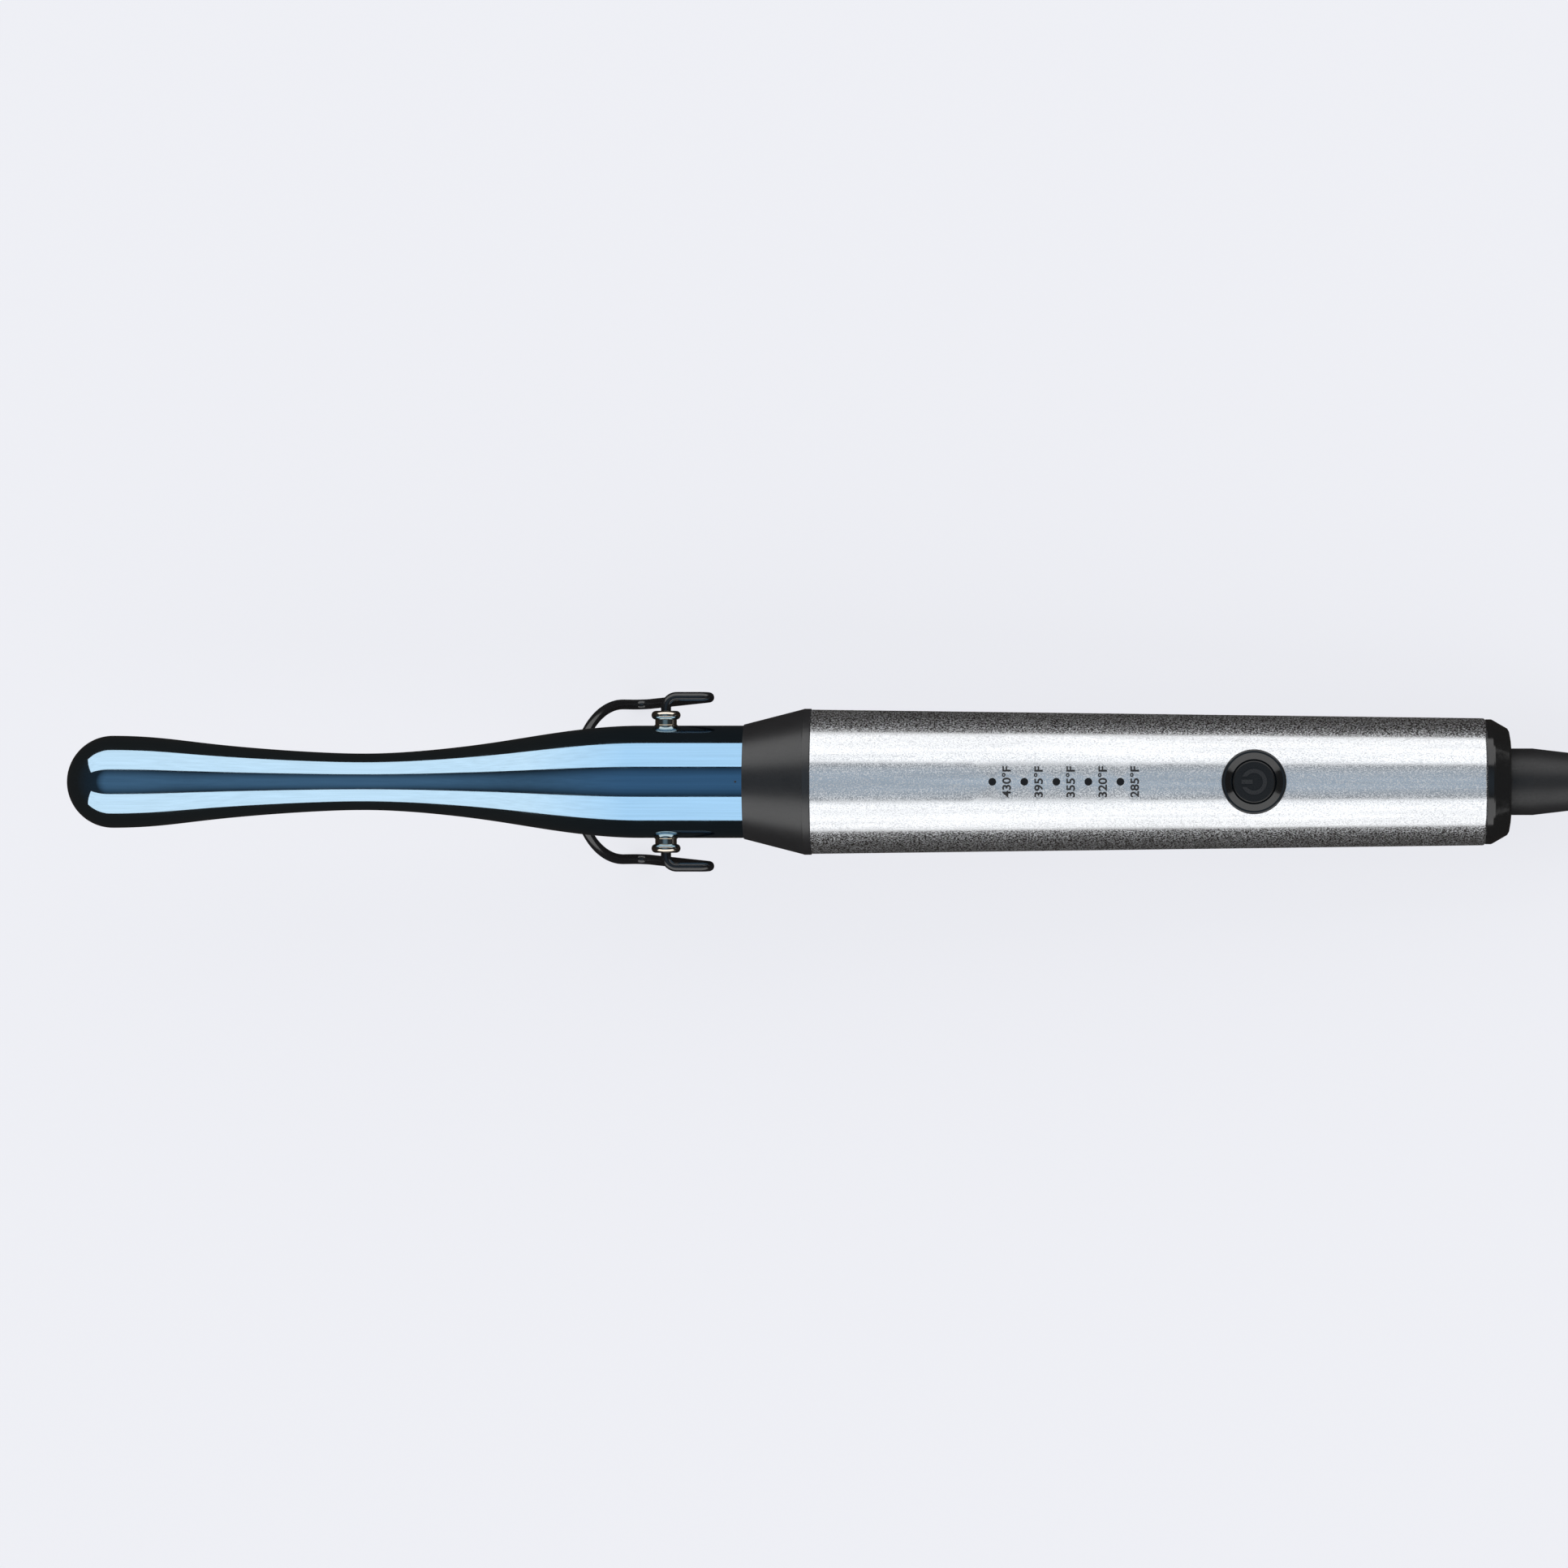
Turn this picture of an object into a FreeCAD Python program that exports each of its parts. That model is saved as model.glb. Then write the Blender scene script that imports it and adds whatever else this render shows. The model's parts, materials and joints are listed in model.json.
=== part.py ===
import FreeCAD, Part
import math
import os

from FreeCAD import Placement, Rotation, Vector

# Curling iron with an hourglass barrel, a fold-out wire stand and a swivel cord.
# Millimetres. The iron is drawn along its own axis first: x runs from the barrel's tip to
# the cord, y is across and z points out of the button side. Then the whole iron is tilted
# onto the table, where it stands on the feet of its wire stand and on the rear edge of its
# handle. In the finished frame +X still points from the tip to the cord, +Y is across,
# +Z is up, and the origin is on the table under the middle of the iron.

# ---- driving dimensions: the iron on the table ----
TILT_DEG = 5.576
MIDDLE_X = 180.0

# ---- barrel ----
NOSE_R = 10.45
WAIST_X = 69.0
WAIST_R = 6.42
BASE_R = 12.7
BASE_X = 130.5
BARREL_LENGTH = 176.0
BARREL_WALL = 0.9
# places along the swell from the nose to the base: distance from the tip, radius
BARREL_SWELL = [
    (NOSE_R, NOSE_R),
    (20.4, 10.02),
    (31.5, 8.78),
    (46.0, 7.42),
    (57.0, 6.72),
    (WAIST_X, WAIST_R),
    (83.0, 7.22),
    (97.5, 8.97),
    (108.5, 10.7),
    (120.0, 12.17),
    (BASE_X, BASE_R),
]
VENT_X = 152.4
VENT_R = 0.25
FIT = 0.02

# ---- heater inside the barrel ----
ROD_R = 2.5
ROD_FRONT = 14.0
ROD_REAR = 143.0
SPREADER_FRONT = 80.0
SPREADER_REAR = 128.0
SPREADER_NECK_R = 7.5
SPREADER_NECK_REAR = 133.0
SPREADER_GAP = 1.0
HEATER_LEAD_Y = 1.6
LEAD_R = 0.7
SENSOR_Y = 5.5
SENSOR_WIRE_R = 0.35
LEAD_HEIGHT = 4.7
FACE_GAP = 0.02
END_DISC_X = 148.0
END_DISC_THICKNESS = 2.0
END_DISC_R = 11.7
ROD_NOSE_ROUND = 1.0
SPRING_X = 60.0
SPRING_THICKNESS = 1.0
SPRING_HUB_R = 3.4
SPRING_REACH = 5.3
SPRING_ARMS = 6
CLIP_X = 129.5
CLIP_WIDTH = 2.0
CLIP_THICKNESS = 0.8
SENSOR_POCKET_FRONT = 112.0
SENSOR_POCKET_R = 1.2
THERMISTOR_FRONT = 113.0
THERMISTOR_LENGTH = 4.0
THERMISTOR_R = 1.1
FUSE_FRONT = 152.5
FUSE_LENGTH = 7.5
FUSE_R = 1.9

# ---- stand ----
HINGE_X = 136.1
WIRE_R = 1.15
WIRE_BEND = 2.4
HINGE_PLAY = 0.05
EAR_BEND = 2.0
STAND_HALF_WIDTH = 19.17
FOOT_HALF_WIDTH = 17.8
CROSSBAR_SLOPE_DEG = 56.0
CROSSBAR_GAP = 0.3
CROSSBAR_X = 114.65
BARREL_R_AT_CROSSBAR = 11.56
EAR_X = 147.1
FOOT_LEG = 7.6
FERRULE_BORE_R = WIRE_R + HINGE_PLAY
FERRULE_STEM_R = 2.2
FERRULE_NECK_R = 2.45
FERRULE_LIP_R = 3.3
FERRULE_TOP = 16.05
FERRULE_FOOT = 10.5
FERRULE_SEAT_FOOT = 12.0
FERRULE_SEAT_TOP = 12.8
FERRULE_BEAD = 1.0
WASHER_FOOT = 10.75
WASHER_TOP = 11.3
WASHER_R = 3.0
PIN_END_Y = 10.6

# ---- collar ----
COLLAR_FRONT = 153.8
COLLAR_FRONT_R = 12.95
COLLAR_CONE_REAR = 167.2
COLLAR_R = 16.5
SLEEVE_FRONT = 169.0
SEAT_FRONT = 160.0
SEAT_R = 13.58
SPIGOT_R = 14.95
BARREL_SCREW_X = 172.5
BARREL_SCREW_R = 1.0
BARREL_SCREW_HEAD_R = 1.8
BARREL_SCREW_FOOT = 11.2
BARREL_SCREW_HEAD_FOOT = 14.1
BARREL_SCREW_TOP = 14.85

# ---- handle ----
SLEEVE_REAR = 320.6
SLEEVE_FRONT_R = 16.3
SLEEVE_REAR_R = 14.3
SLEEVE_WALL = 1.2
SLEEVE_EDGE = 0.5
CHASSIS_FRONT = 178.0
CHASSIS_REAR = 298.0
CHASSIS_WALL = 1.5
CHASSIS_SCREWS_X = (190.0, 291.0)
CHASSIS_SCREW_R = 1.2
CHASSIS_SCREW_HEAD_R = 2.2
CHASSIS_SCREW_FOOT = -8.0
CHASSIS_SCREW_SEAT = 5.0
CHASSIS_SCREW_HEAD = 1.6
BOSS_R = 3.0
BOARD_FRONT = 203.0
BOARD_REAR = 281.0
BOARD_HALF_WIDTH = 9.2
BOARD_UNDERSIDE = 3.9
BOARD_THICKNESS = 1.6
BOARD_POSTS_X = (206.0, 278.0)
BOARD_POST_R = 2.4
BOARD_SCREW_R = 1.0
BOARD_SCREW_HEAD_R = 1.9
BOARD_SCREW_HEAD = 1.3
BOARD_SCREW_FOOT = -3.0

# ---- electronics on the board ----
CHIP_X = 252.0
TRIAC_TAB_X = 236.0
TRIAC_X = 231.0
CAPACITOR_X = 254.0
INPUT_FUSE_FRONT = 264.0
INPUT_FUSE_LENGTH = 9.0
INPUT_FUSE_R = 2.0
INPUT_FUSE_Z = 1.9
RESISTOR_FRONT = 265.0
RESISTOR_LENGTH = 7.0
RESISTOR_R = 1.2
RESISTOR_WIRE_R = 0.35
RESISTOR_WIRE_REACH = 2.5
RESISTOR_Z = 2.2
PARTS_Y = 5.0
LED_LENGTH = 1.6
LED_WIDTH = 0.9
LED_HEIGHT = 0.7
LIGHT_BAR_Z = 9.0
LIGHT_ROD_FOOT = 6.5

# ---- controls ----
BUTTON_X = 268.5
BEZEL_R = 7.25
BEZEL_SKIRT_R = 6.25
BEZEL_TOP = 15.75
BEZEL_BORE_R = 5.06
BUTTON_R = 4.76
BUTTON_TOP = 15.3
BUTTON_STEM_FOOT = 9.95
BUTTON_LIP_R = 5.6
BUTTON_LIP_FOOT = 11.0
BUTTON_LIP_TOP = 11.9
BUTTON_STEM_R = 1.6
SYMBOL_OUTER_R = 2.9
SYMBOL_INNER_R = 1.96
SYMBOL_HEIGHT = 0.15
SWITCH_WIDTH = 6.2
SWITCH_HEIGHT = 3.5
PLUNGER_R = 1.75
PLUNGER_LENGTH = 1.85
WINDOW_R = 0.85
WINDOW_FIRST_X = 210.1
WINDOW_PITCH = 7.15
WINDOW_COUNT = 5

# ---- end cap, swivel and boot ----
CAP_BAND_R = 14.05
CAP_CONE_REAR = 325.6
CAP_CONE_R = 12.0
CAP_REAR = 326.4
CAP_MOUTH_R = 7.85
CAP_WALL_REAR = 324.0
CAP_SPIGOT_R = 12.95
BEARING_R = 5.08
ROTOR_R = 5.0
ROTOR_FRONT = 301.0
SLIP_RING_R = 5.8
SLIP_RINGS_X = (303.0, 309.0)
SLIP_RING_WIDTH = 3.0
ROTOR_GROOVE_X = 319.4
ROTOR_GROOVE_WIDTH = 0.9
ROTOR_GROOVE_R = 4.4
ROTOR_HEAD_R = 7.2
CIRCLIP_R = 6.4
HOLDER_FRONT = 301.5
HOLDER_REAR = 313.5
HOLDER_BORE_R = 8.0
HOLDER_R = 12.7
CAP_SPIGOT_FRONT = 314.0
CAP_SPIGOT_BORE_R = 11.5
BOOT_FRONT = 326.0
BOOT_R = 7.5
BOOT_MID_X = 339.7
BOOT_MID_R = 6.5
BOOT_REAR = 362.0
BOOT_REAR_R = 4.3
BOOT_GROOVES = 5
BOOT_GROOVE_START = 1.6
BOOT_GROOVE_PITCH = 3.8
BOOT_GROOVE_DEPTH = 0.9
CORD_TAIL_FRONT = 316.0

# ---- cord, hank and plug ----
CORD_R = 3.0
HANK_X = 320.0
HANK_FOLD_X = 56.0
HANK_FOLD_R = 27.0
HANK_WAIST_HALF = 12.0
HANK_EYE_R = 14.0
HANK_HEIGHT = 18.0
TIE_HALF_WIDTH = 7.0
TIE_THICKNESS = 0.9
# the stretch from the boot to the hank, point by point along the cord's middle
LEAD_ROUTE = [
    (180.32, 0.0, 10.16),
    (190.32, 0.0, 9.184),
    (201.0, -0.8, 7.2),
    (213.0, -3.4, 4.8),
    (226.0, -8.2, 3.3),
    (239.0, -14.6, 3.0),
    (250.0, -20.0, 3.0),
    (261.0, -23.4, 3.0),
]
# the stretch from the top of the hank to the plug
PLUG_ROUTE = [
    (250.5, -13.5, 18.6),
    (259.0, -18.3, 20.2),
    (269.5, -18.8, 21.1),
    (282.0, -15.2, 21.1),
    (296.0, -9.8, 21.1),
    (310.0, -5.0, 21.1),
    (323.0, -1.6, 22.2),
    (336.0, 0.0, 24.5),
]
PLUG_TAIL_X = 336.0
PLUG_RELIEF_LENGTH = 22.0
PLUG_LENGTH = 28.0
PLUG_HALF_WIDTH = 12.0
PLUG_THICKNESS = 13.0
BLADE_LENGTH = 16.5
BLADE_SPACING = 12.7
BLADE_WIDTH = 6.35
BLADE_THICKNESS = 1.5
BLADE_ROOT = 8.0
PLUG_EDGE_ROUND = 3.0
RELIEF_TIP_R = 4.2
RELIEF_ROOT_R = 6.0

# ---- worked-out values ----
TILT = math.radians(TILT_DEG)
REST_EDGE_X = SLEEVE_REAR - SLEEVE_EDGE
REST_EDGE_R = SLEEVE_REAR_R - SLEEVE_EDGE
AXIS_HEIGHT_AT_TIP = REST_EDGE_X * math.sin(TILT) + REST_EDGE_R * math.cos(TILT) + SLEEVE_EDGE
ON_TABLE = Placement(
    Vector(-MIDDLE_X, 0, AXIS_HEIGHT_AT_TIP),
    Rotation(Vector(0, 1, 0), TILT_DEG),
)
BOARD_TOP = BOARD_UNDERSIDE + BOARD_THICKNESS
X_AXIS = Vector(1, 0, 0)
Y_AXIS = Vector(0, 1, 0)
Z_AXIS = Vector(0, 0, 1)
CENTRE = Vector(0, 0, 0)
FAR = 40.0

os.makedirs("parts", exist_ok=True)


# ---- helpers ----
def lathe(outline):
    """Turn a closed outline of (x, radius) points about the iron's axis."""
    points = [Vector(x, radius, 0) for x, radius in outline]
    profile = Part.makePolygon(points + [points[0]])
    return Part.Face(profile).revolve(CENTRE, X_AXIS, 360)


def ring(front, rear, inner_r, outer_r):
    return lathe([(front, inner_r), (front, outer_r), (rear, outer_r), (rear, inner_r)])


def rod(start, end, radius):
    """A round rod between two points."""
    direction = end - start
    return Part.makeCylinder(radius, direction.Length, start, direction)


def block(x, y, z, length, width, height):
    """A box centred on x and y, standing on z."""
    return Part.makeBox(length, width, height, Vector(x - length / 2, y - width / 2, z))


def joined(shapes):
    """Overlapping shapes as one solid."""
    first = shapes[0]
    rest = shapes[1:]
    return first.fuse(rest).removeSplitter() if rest else first


def group(shapes):
    """Separate solids in one node."""
    return Part.makeCompound(shapes)


def turned(shape, degrees):
    """A copy turned about the iron's axis."""
    copy = shape.copy()
    copy.rotate(CENTRE, X_AXIS, degrees)
    return copy


def mirrored(shape):
    """A copy on the other side of the iron's middle plane."""
    return shape.mirror(CENTRE, Y_AXIS)


def bend_radius(before, corner, after, share=0.45):
    """The largest arc that a corner's shorter run allows."""
    arrive = corner - before
    leave = after - corner
    half_turn = arrive.getAngle(leave) / 2
    return share * min(arrive.Length, leave.Length) / math.tan(half_turn)


def bent_path(points, radii):
    """Straight runs joined by tangent arcs, one radius for each inner point."""
    edges = []
    start = points[0]
    for index, radius in enumerate(radii):
        corner = points[index + 1]
        arrive = (corner - points[index]).normalize()
        leave = (points[index + 2] - corner).normalize()
        half_turn = arrive.getAngle(leave) / 2
        setback = radius * math.tan(half_turn)
        first = corner - arrive * setback
        last = corner + leave * setback
        inward = (leave - arrive).normalize()
        middle = corner + inward * (radius / math.cos(half_turn) - radius)
        if (first - start).Length > 0.001:
            edges.append(Part.LineSegment(start, first).toShape())
        edges.append(Part.Arc(first, middle, last).toShape())
        start = last
    edges.append(Part.LineSegment(start, points[-1]).toShape())
    return Part.Wire(edges)


def bent_wire(points, wire_r, radii):
    """A round wire swept along a bent path."""
    path = bent_path(points, radii)
    heading = points[1] - points[0]
    section = Part.Wire(Part.makeCircle(wire_r, points[0], heading))
    return path.makePipeShell([section], True, False)


def largest_bends(points):
    triples = zip(points, points[1:], points[2:])
    return [bend_radius(before, corner, after) for before, corner, after in triples]


def sleeve_radius(x):
    drop = (SLEEVE_FRONT_R - SLEEVE_REAR_R) / (SLEEVE_REAR - SLEEVE_FRONT)
    return SLEEVE_FRONT_R - drop * (x - SLEEVE_FRONT)


def save(name, shape):
    """Write one node."""
    if not shape.isValid():
        print("not valid:", name)
    shape.exportStep("parts/" + name + ".step")


def save_on_iron(name, shape):
    """Write one node of the iron, tilted onto the table with the rest."""
    save(name, shape.transformed(ON_TABLE.toMatrix(), True))


# ---- barrel ----
def barrel_solid(inset, end):
    """The barrel's outer form, or its hollow when inset is the wall."""
    nose = NOSE_R - inset
    diagonal = nose * math.sqrt(0.5)
    tip = Vector(inset, 0, 0)
    cheek = Vector(NOSE_R - diagonal, diagonal, 0)
    swell_points = [Vector(x, radius - inset, 0) for x, radius in BARREL_SWELL]
    swell = Part.BSplineCurve()
    swell.interpolate(Points=swell_points, InitialTangent=X_AXIS, FinalTangent=X_AXIS)
    rim = Vector(end, BASE_R - inset, 0)
    foot = Vector(end, 0, 0)
    edges = [
        Part.Arc(tip, cheek, swell_points[0]).toShape(),
        swell.toShape(),
        Part.makeLine(swell_points[-1], rim),
        Part.makeLine(rim, foot),
        Part.makeLine(foot, tip),
    ]
    return Part.Face(Part.Wire(edges)).revolve(CENTRE, X_AXIS, 360)


def barrel_slice(inset, front, rear):
    """The barrel's form between two places along it."""
    keep = Part.makeCylinder(FAR, rear - front, Vector(front, 0, 0), X_AXIS)
    return barrel_solid(inset, BARREL_LENGTH).common(keep)


FERRULE_HOLE = rod(Vector(HINGE_X, -FAR, 0), Vector(HINGE_X, FAR, 0), FERRULE_STEM_R)
VENT = rod(Vector(VENT_X, 0, 0), Vector(VENT_X, 0, FAR), VENT_R)


def barrel_screw(angle):
    """A countersunk screw through the collar's spigot and the seat into the barrel."""
    foot = Vector(BARREL_SCREW_X, 0, BARREL_SCREW_FOOT)
    head_foot = Vector(BARREL_SCREW_X, 0, BARREL_SCREW_HEAD_FOOT)
    top = Vector(BARREL_SCREW_X, 0, BARREL_SCREW_TOP)
    shank = rod(foot, top, BARREL_SCREW_R)
    head = rod(head_foot, top, BARREL_SCREW_HEAD_R)
    slot = block(BARREL_SCREW_X, 0, BARREL_SCREW_TOP - 0.35, 0.4, 2.6, 1.0)
    return turned(shank.fuse(head).removeSplitter(), angle), turned(slot, angle)


screw_sets = [barrel_screw(angle) for angle in (90, 210, 330)]
screw_forms = group([form for form, slot in screw_sets])
save_on_iron("barrel_screws", group([form.cut(slot) for form, slot in screw_sets]))

barrel_shell = barrel_solid(0, BARREL_LENGTH).cut(barrel_solid(BARREL_WALL, BARREL_LENGTH + 1))
barrel_shell = barrel_shell.cut(FERRULE_HOLE).cut(VENT).cut(screw_forms)
save_on_iron("barrel_shell", barrel_shell)


# ---- heater ----
heater_rod = rod(Vector(ROD_FRONT, 0, 0), Vector(ROD_REAR, 0, 0), ROD_R)
save_on_iron("heater_rod", heater_rod.makeFillet(ROD_NOSE_ROUND, [heater_rod.Edges[0]]))

spring_hub = ring(SPRING_X, SPRING_X + SPRING_THICKNESS, ROD_R, SPRING_HUB_R)
spring_arm = block(SPRING_X + 0.3, 0, SPRING_HUB_R - 0.2, 0.6, 1.6, SPRING_REACH - SPRING_HUB_R + 0.2)
spring_arms = [turned(spring_arm, 360 / SPRING_ARMS * step) for step in range(SPRING_ARMS)]
save_on_iron("rod_centring_spring", joined([spring_hub] + spring_arms))

spreader_body = barrel_slice(BARREL_WALL + 0.25, SPREADER_FRONT, SPREADER_REAR)
spreader_neck = ring(SPREADER_REAR - 1, SPREADER_NECK_REAR, 0.5, SPREADER_NECK_R)
rod_bore = rod(Vector(SPREADER_FRONT - 1, 0, 0), Vector(SPREADER_NECK_REAR + 1, 0, 0), ROD_R + 0.05)
pocket_front = Vector(SENSOR_POCKET_FRONT, SENSOR_Y, 0)
pocket_rear = Vector(SPREADER_NECK_REAR + 1, SENSOR_Y, 0)
sensor_pocket = rod(pocket_front, pocket_rear, SENSOR_POCKET_R)
split_gap = block(106.0, 0, -SPREADER_GAP / 2, 60.0, 2 * FAR, SPREADER_GAP)
spreader = spreader_body.fuse(spreader_neck).cut(rod_bore).cut(sensor_pocket).cut(split_gap)
upper_half_space = Part.makeBox(400, 2 * FAR, FAR, Vector(0, -FAR, 0))
lower_half_space = Part.makeBox(400, 2 * FAR, FAR, Vector(0, -FAR, -FAR))
save_on_iron("heat_spreader_upper", spreader.common(upper_half_space))
save_on_iron("heat_spreader_lower", spreader.common(lower_half_space))

clip_ring = ring(CLIP_X, CLIP_X + CLIP_WIDTH, SPREADER_NECK_R, SPREADER_NECK_R + CLIP_THICKNESS)
clip_mouth = block(CLIP_X + CLIP_WIDTH / 2, -SPREADER_NECK_R - CLIP_THICKNESS / 2, -1.5, 4, 4, 3)
save_on_iron("spreader_clip", clip_ring.cut(clip_mouth))

thermistor_rear = THERMISTOR_FRONT + THERMISTOR_LENGTH
thermistor = rod(
    Vector(THERMISTOR_FRONT, SENSOR_Y, 0), Vector(thermistor_rear, SENSOR_Y, 0), THERMISTOR_R,
)
save_on_iron("thermistor", thermistor)

end_disc = ring(END_DISC_X, END_DISC_X + END_DISC_THICKNESS, 0.4, END_DISC_R)
lead_holes = ((-HEATER_LEAD_Y, LEAD_R + 0.1), (HEATER_LEAD_Y, LEAD_R + 0.1), (SENSOR_Y, 1.1))
for hole_y, hole_r in lead_holes:
    before = Vector(END_DISC_X - 1, hole_y, 0)
    behind = Vector(END_DISC_X + END_DISC_THICKNESS + 1, hole_y, 0)
    end_disc = end_disc.cut(rod(before, behind, hole_r))
save_on_iron("barrel_end_disc", end_disc)

fuse_rear = FUSE_FRONT + FUSE_LENGTH
fuse_form = rod(Vector(FUSE_FRONT, HEATER_LEAD_Y, 0), Vector(fuse_rear, HEATER_LEAD_Y, 0), FUSE_R)
fuse_form = fuse_form.cut(rod(Vector(150, -HEATER_LEAD_Y, 0), Vector(170, -HEATER_LEAD_Y, 0), 0.8))
heater_leads = []
for side in (-1, 1):
    heater_route = [
        Vector(ROD_REAR, side * HEATER_LEAD_Y, 0),
        Vector(163.0, side * HEATER_LEAD_Y, 0),
        Vector(178.0, side * 5.5, 1.5),
        Vector(191.0, side * 5.5, 1.5),
        Vector(198.0, side * 5.5, LEAD_HEIGHT),
        Vector(BOARD_FRONT - FACE_GAP, side * 5.5, LEAD_HEIGHT),
    ]
    heater_leads.append(bent_wire(heater_route, LEAD_R, [8.0, 8.0, 6.0, 6.0]).cut(fuse_form))
save_on_iron("heater_leads", group(heater_leads))
lead_before_fuse = Vector(FUSE_FRONT - 2, HEATER_LEAD_Y, 0)
lead_behind_fuse = Vector(fuse_rear + 2, HEATER_LEAD_Y, 0)
fuse_lead_hole = rod(lead_before_fuse, lead_behind_fuse, 0.3)
save_on_iron("thermal_fuse", fuse_form.cut(fuse_lead_hole))

sensor_leads = []
for offset in (-0.5, 0.5):
    sensor_route = [
        Vector(thermistor_rear, SENSOR_Y + offset, 0),
        Vector(162.0, SENSOR_Y + offset, 0),
        Vector(178.0, SENSOR_Y + offset + 2.0, 0.5),
        Vector(191.0, SENSOR_Y + offset + 2.0, 1.0),
        Vector(198.0, SENSOR_Y + offset + 2.4, LEAD_HEIGHT),
        Vector(BOARD_FRONT - FACE_GAP, SENSOR_Y + offset + 2.4, LEAD_HEIGHT),
    ]
    sensor_leads.append(bent_wire(sensor_route, SENSOR_WIRE_R, [8.0, 8.0, 6.0, 6.0]))
save_on_iron("sensor_leads", group(sensor_leads))


# ---- stand ----
def stand_ferrule():
    """A turned hinge bush: stem through the barrel, thin seat rim, neck and round bead."""
    bead_r = FERRULE_LIP_R - FERRULE_BEAD
    bead_middle = FERRULE_TOP - FERRULE_BEAD
    bead_foot = bead_middle - FERRULE_BEAD
    seat_r = FERRULE_NECK_R + 0.2
    corners = [
        Vector(FERRULE_BORE_R, FERRULE_FOOT, 0),
        Vector(FERRULE_STEM_R, FERRULE_FOOT, 0),
        Vector(FERRULE_STEM_R, FERRULE_SEAT_FOOT, 0),
        Vector(seat_r, FERRULE_SEAT_FOOT, 0),
        Vector(seat_r, FERRULE_SEAT_TOP, 0),
        Vector(FERRULE_NECK_R, FERRULE_SEAT_TOP + 0.1, 0),
        Vector(FERRULE_NECK_R, bead_foot, 0),
        Vector(bead_r, bead_foot, 0),
    ]
    after_bead = [
        Vector(bead_r, FERRULE_TOP, 0),
        Vector(1.7, FERRULE_TOP, 0),
        Vector(FERRULE_BORE_R, FERRULE_TOP - 0.3, 0),
        corners[0],
    ]
    edges = [Part.makeLine(start, end) for start, end in zip(corners, corners[1:])]
    edges.append(Part.Arc(corners[-1], Vector(FERRULE_LIP_R, bead_middle, 0), after_bead[0]).toShape())
    edges += [Part.makeLine(start, end) for start, end in zip(after_bead, after_bead[1:])]
    bush = Part.Face(Part.Wire(edges)).revolve(CENTRE, Y_AXIS, 360)
    bush.translate(Vector(HINGE_X, 0, 0))
    wall = ring(HINGE_X - 8, HINGE_X + 8, BASE_R - BARREL_WALL, BASE_R).cut(FERRULE_HOLE)
    return bush.cut(wall)


ferrule = stand_ferrule()
save_on_iron("stand_ferrule_left", ferrule)
save_on_iron("stand_ferrule_right", mirrored(ferrule))
washer = rod(Vector(HINGE_X, WASHER_FOOT, 0), Vector(HINGE_X, WASHER_TOP, 0), WASHER_R)
washer = washer.cut(FERRULE_HOLE)
save_on_iron("ferrule_washers", group([washer, mirrored(washer)]))


def mirror_point(point):
    return Vector(point.x, -point.y, point.z)


def stand_wire():
    """One length of wire: hinge pins, ears, feet, and a crossbar that stops under the barrel."""
    slope = math.radians(CROSSBAR_SLOPE_DEG)
    rise = Vector(-math.cos(slope), 0, math.sin(slope))
    apex_height = -(BARREL_R_AT_CROSSBAR + CROSSBAR_GAP + WIRE_R)
    apex = Vector(CROSSBAR_X, 0, apex_height)
    arch_centre = apex - rise * FOOT_HALF_WIDTH
    arch_start = arch_centre + Y_AXIS * FOOT_HALF_WIDTH
    pin_end = Vector(HINGE_X, PIN_END_Y, 0)
    elbow = Vector(HINGE_X, STAND_HALF_WIDTH, 0)
    ear = Vector(EAR_X, STAND_HALF_WIDTH, 0)
    foot = arch_start - rise * FOOT_LEG
    corners = [pin_end, elbow, ear, foot, arch_start]
    bends = [WIRE_BEND, EAR_BEND, WIRE_BEND]
    leg = bent_path(corners, bends)
    other_leg = bent_path([mirror_point(corner) for corner in reversed(corners)], bends[::-1])
    arch = Part.Arc(arch_start, apex, mirror_point(arch_start)).toShape()
    path = Part.Wire(leg.Edges + [arch] + other_leg.Edges)
    section = Part.Wire(Part.makeCircle(WIRE_R, pin_end, Y_AXIS))
    return path.makePipeShell([section], True, False)


stand = stand_wire()
save_on_iron("stand_wire", stand)


# ---- collar ----
nose_collar = lathe([
    (COLLAR_FRONT, BASE_R + FIT),
    (COLLAR_FRONT, COLLAR_FRONT_R),
    (COLLAR_CONE_REAR, COLLAR_R - 0.1),
    (COLLAR_CONE_REAR + 0.25, COLLAR_R),
    (SLEEVE_FRONT, COLLAR_R),
    (SLEEVE_FRONT, SPIGOT_R),
    (CHASSIS_FRONT - 0.5, SPIGOT_R),
    (CHASSIS_FRONT - 0.5, SEAT_R + FIT),
    (SEAT_FRONT, SEAT_R + FIT),
    (SEAT_FRONT, BASE_R + FIT),
])
save_on_iron("nose_collar", nose_collar.cut(screw_forms))
barrel_seat = ring(SEAT_FRONT, BARREL_LENGTH, BASE_R + FIT, SEAT_R)
save_on_iron("barrel_seat_ring", barrel_seat.cut(screw_forms))


# ---- handle ----
def up_bore(x, radius):
    """A hole from the axis out through the button side."""
    return Part.makeCylinder(radius, FAR, Vector(x, 0, 2), Z_AXIS)


window_places = [WINDOW_FIRST_X + WINDOW_PITCH * step for step in range(WINDOW_COUNT)]
window_bores = group([up_bore(x, WINDOW_R + FIT) for x in window_places])

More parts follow.
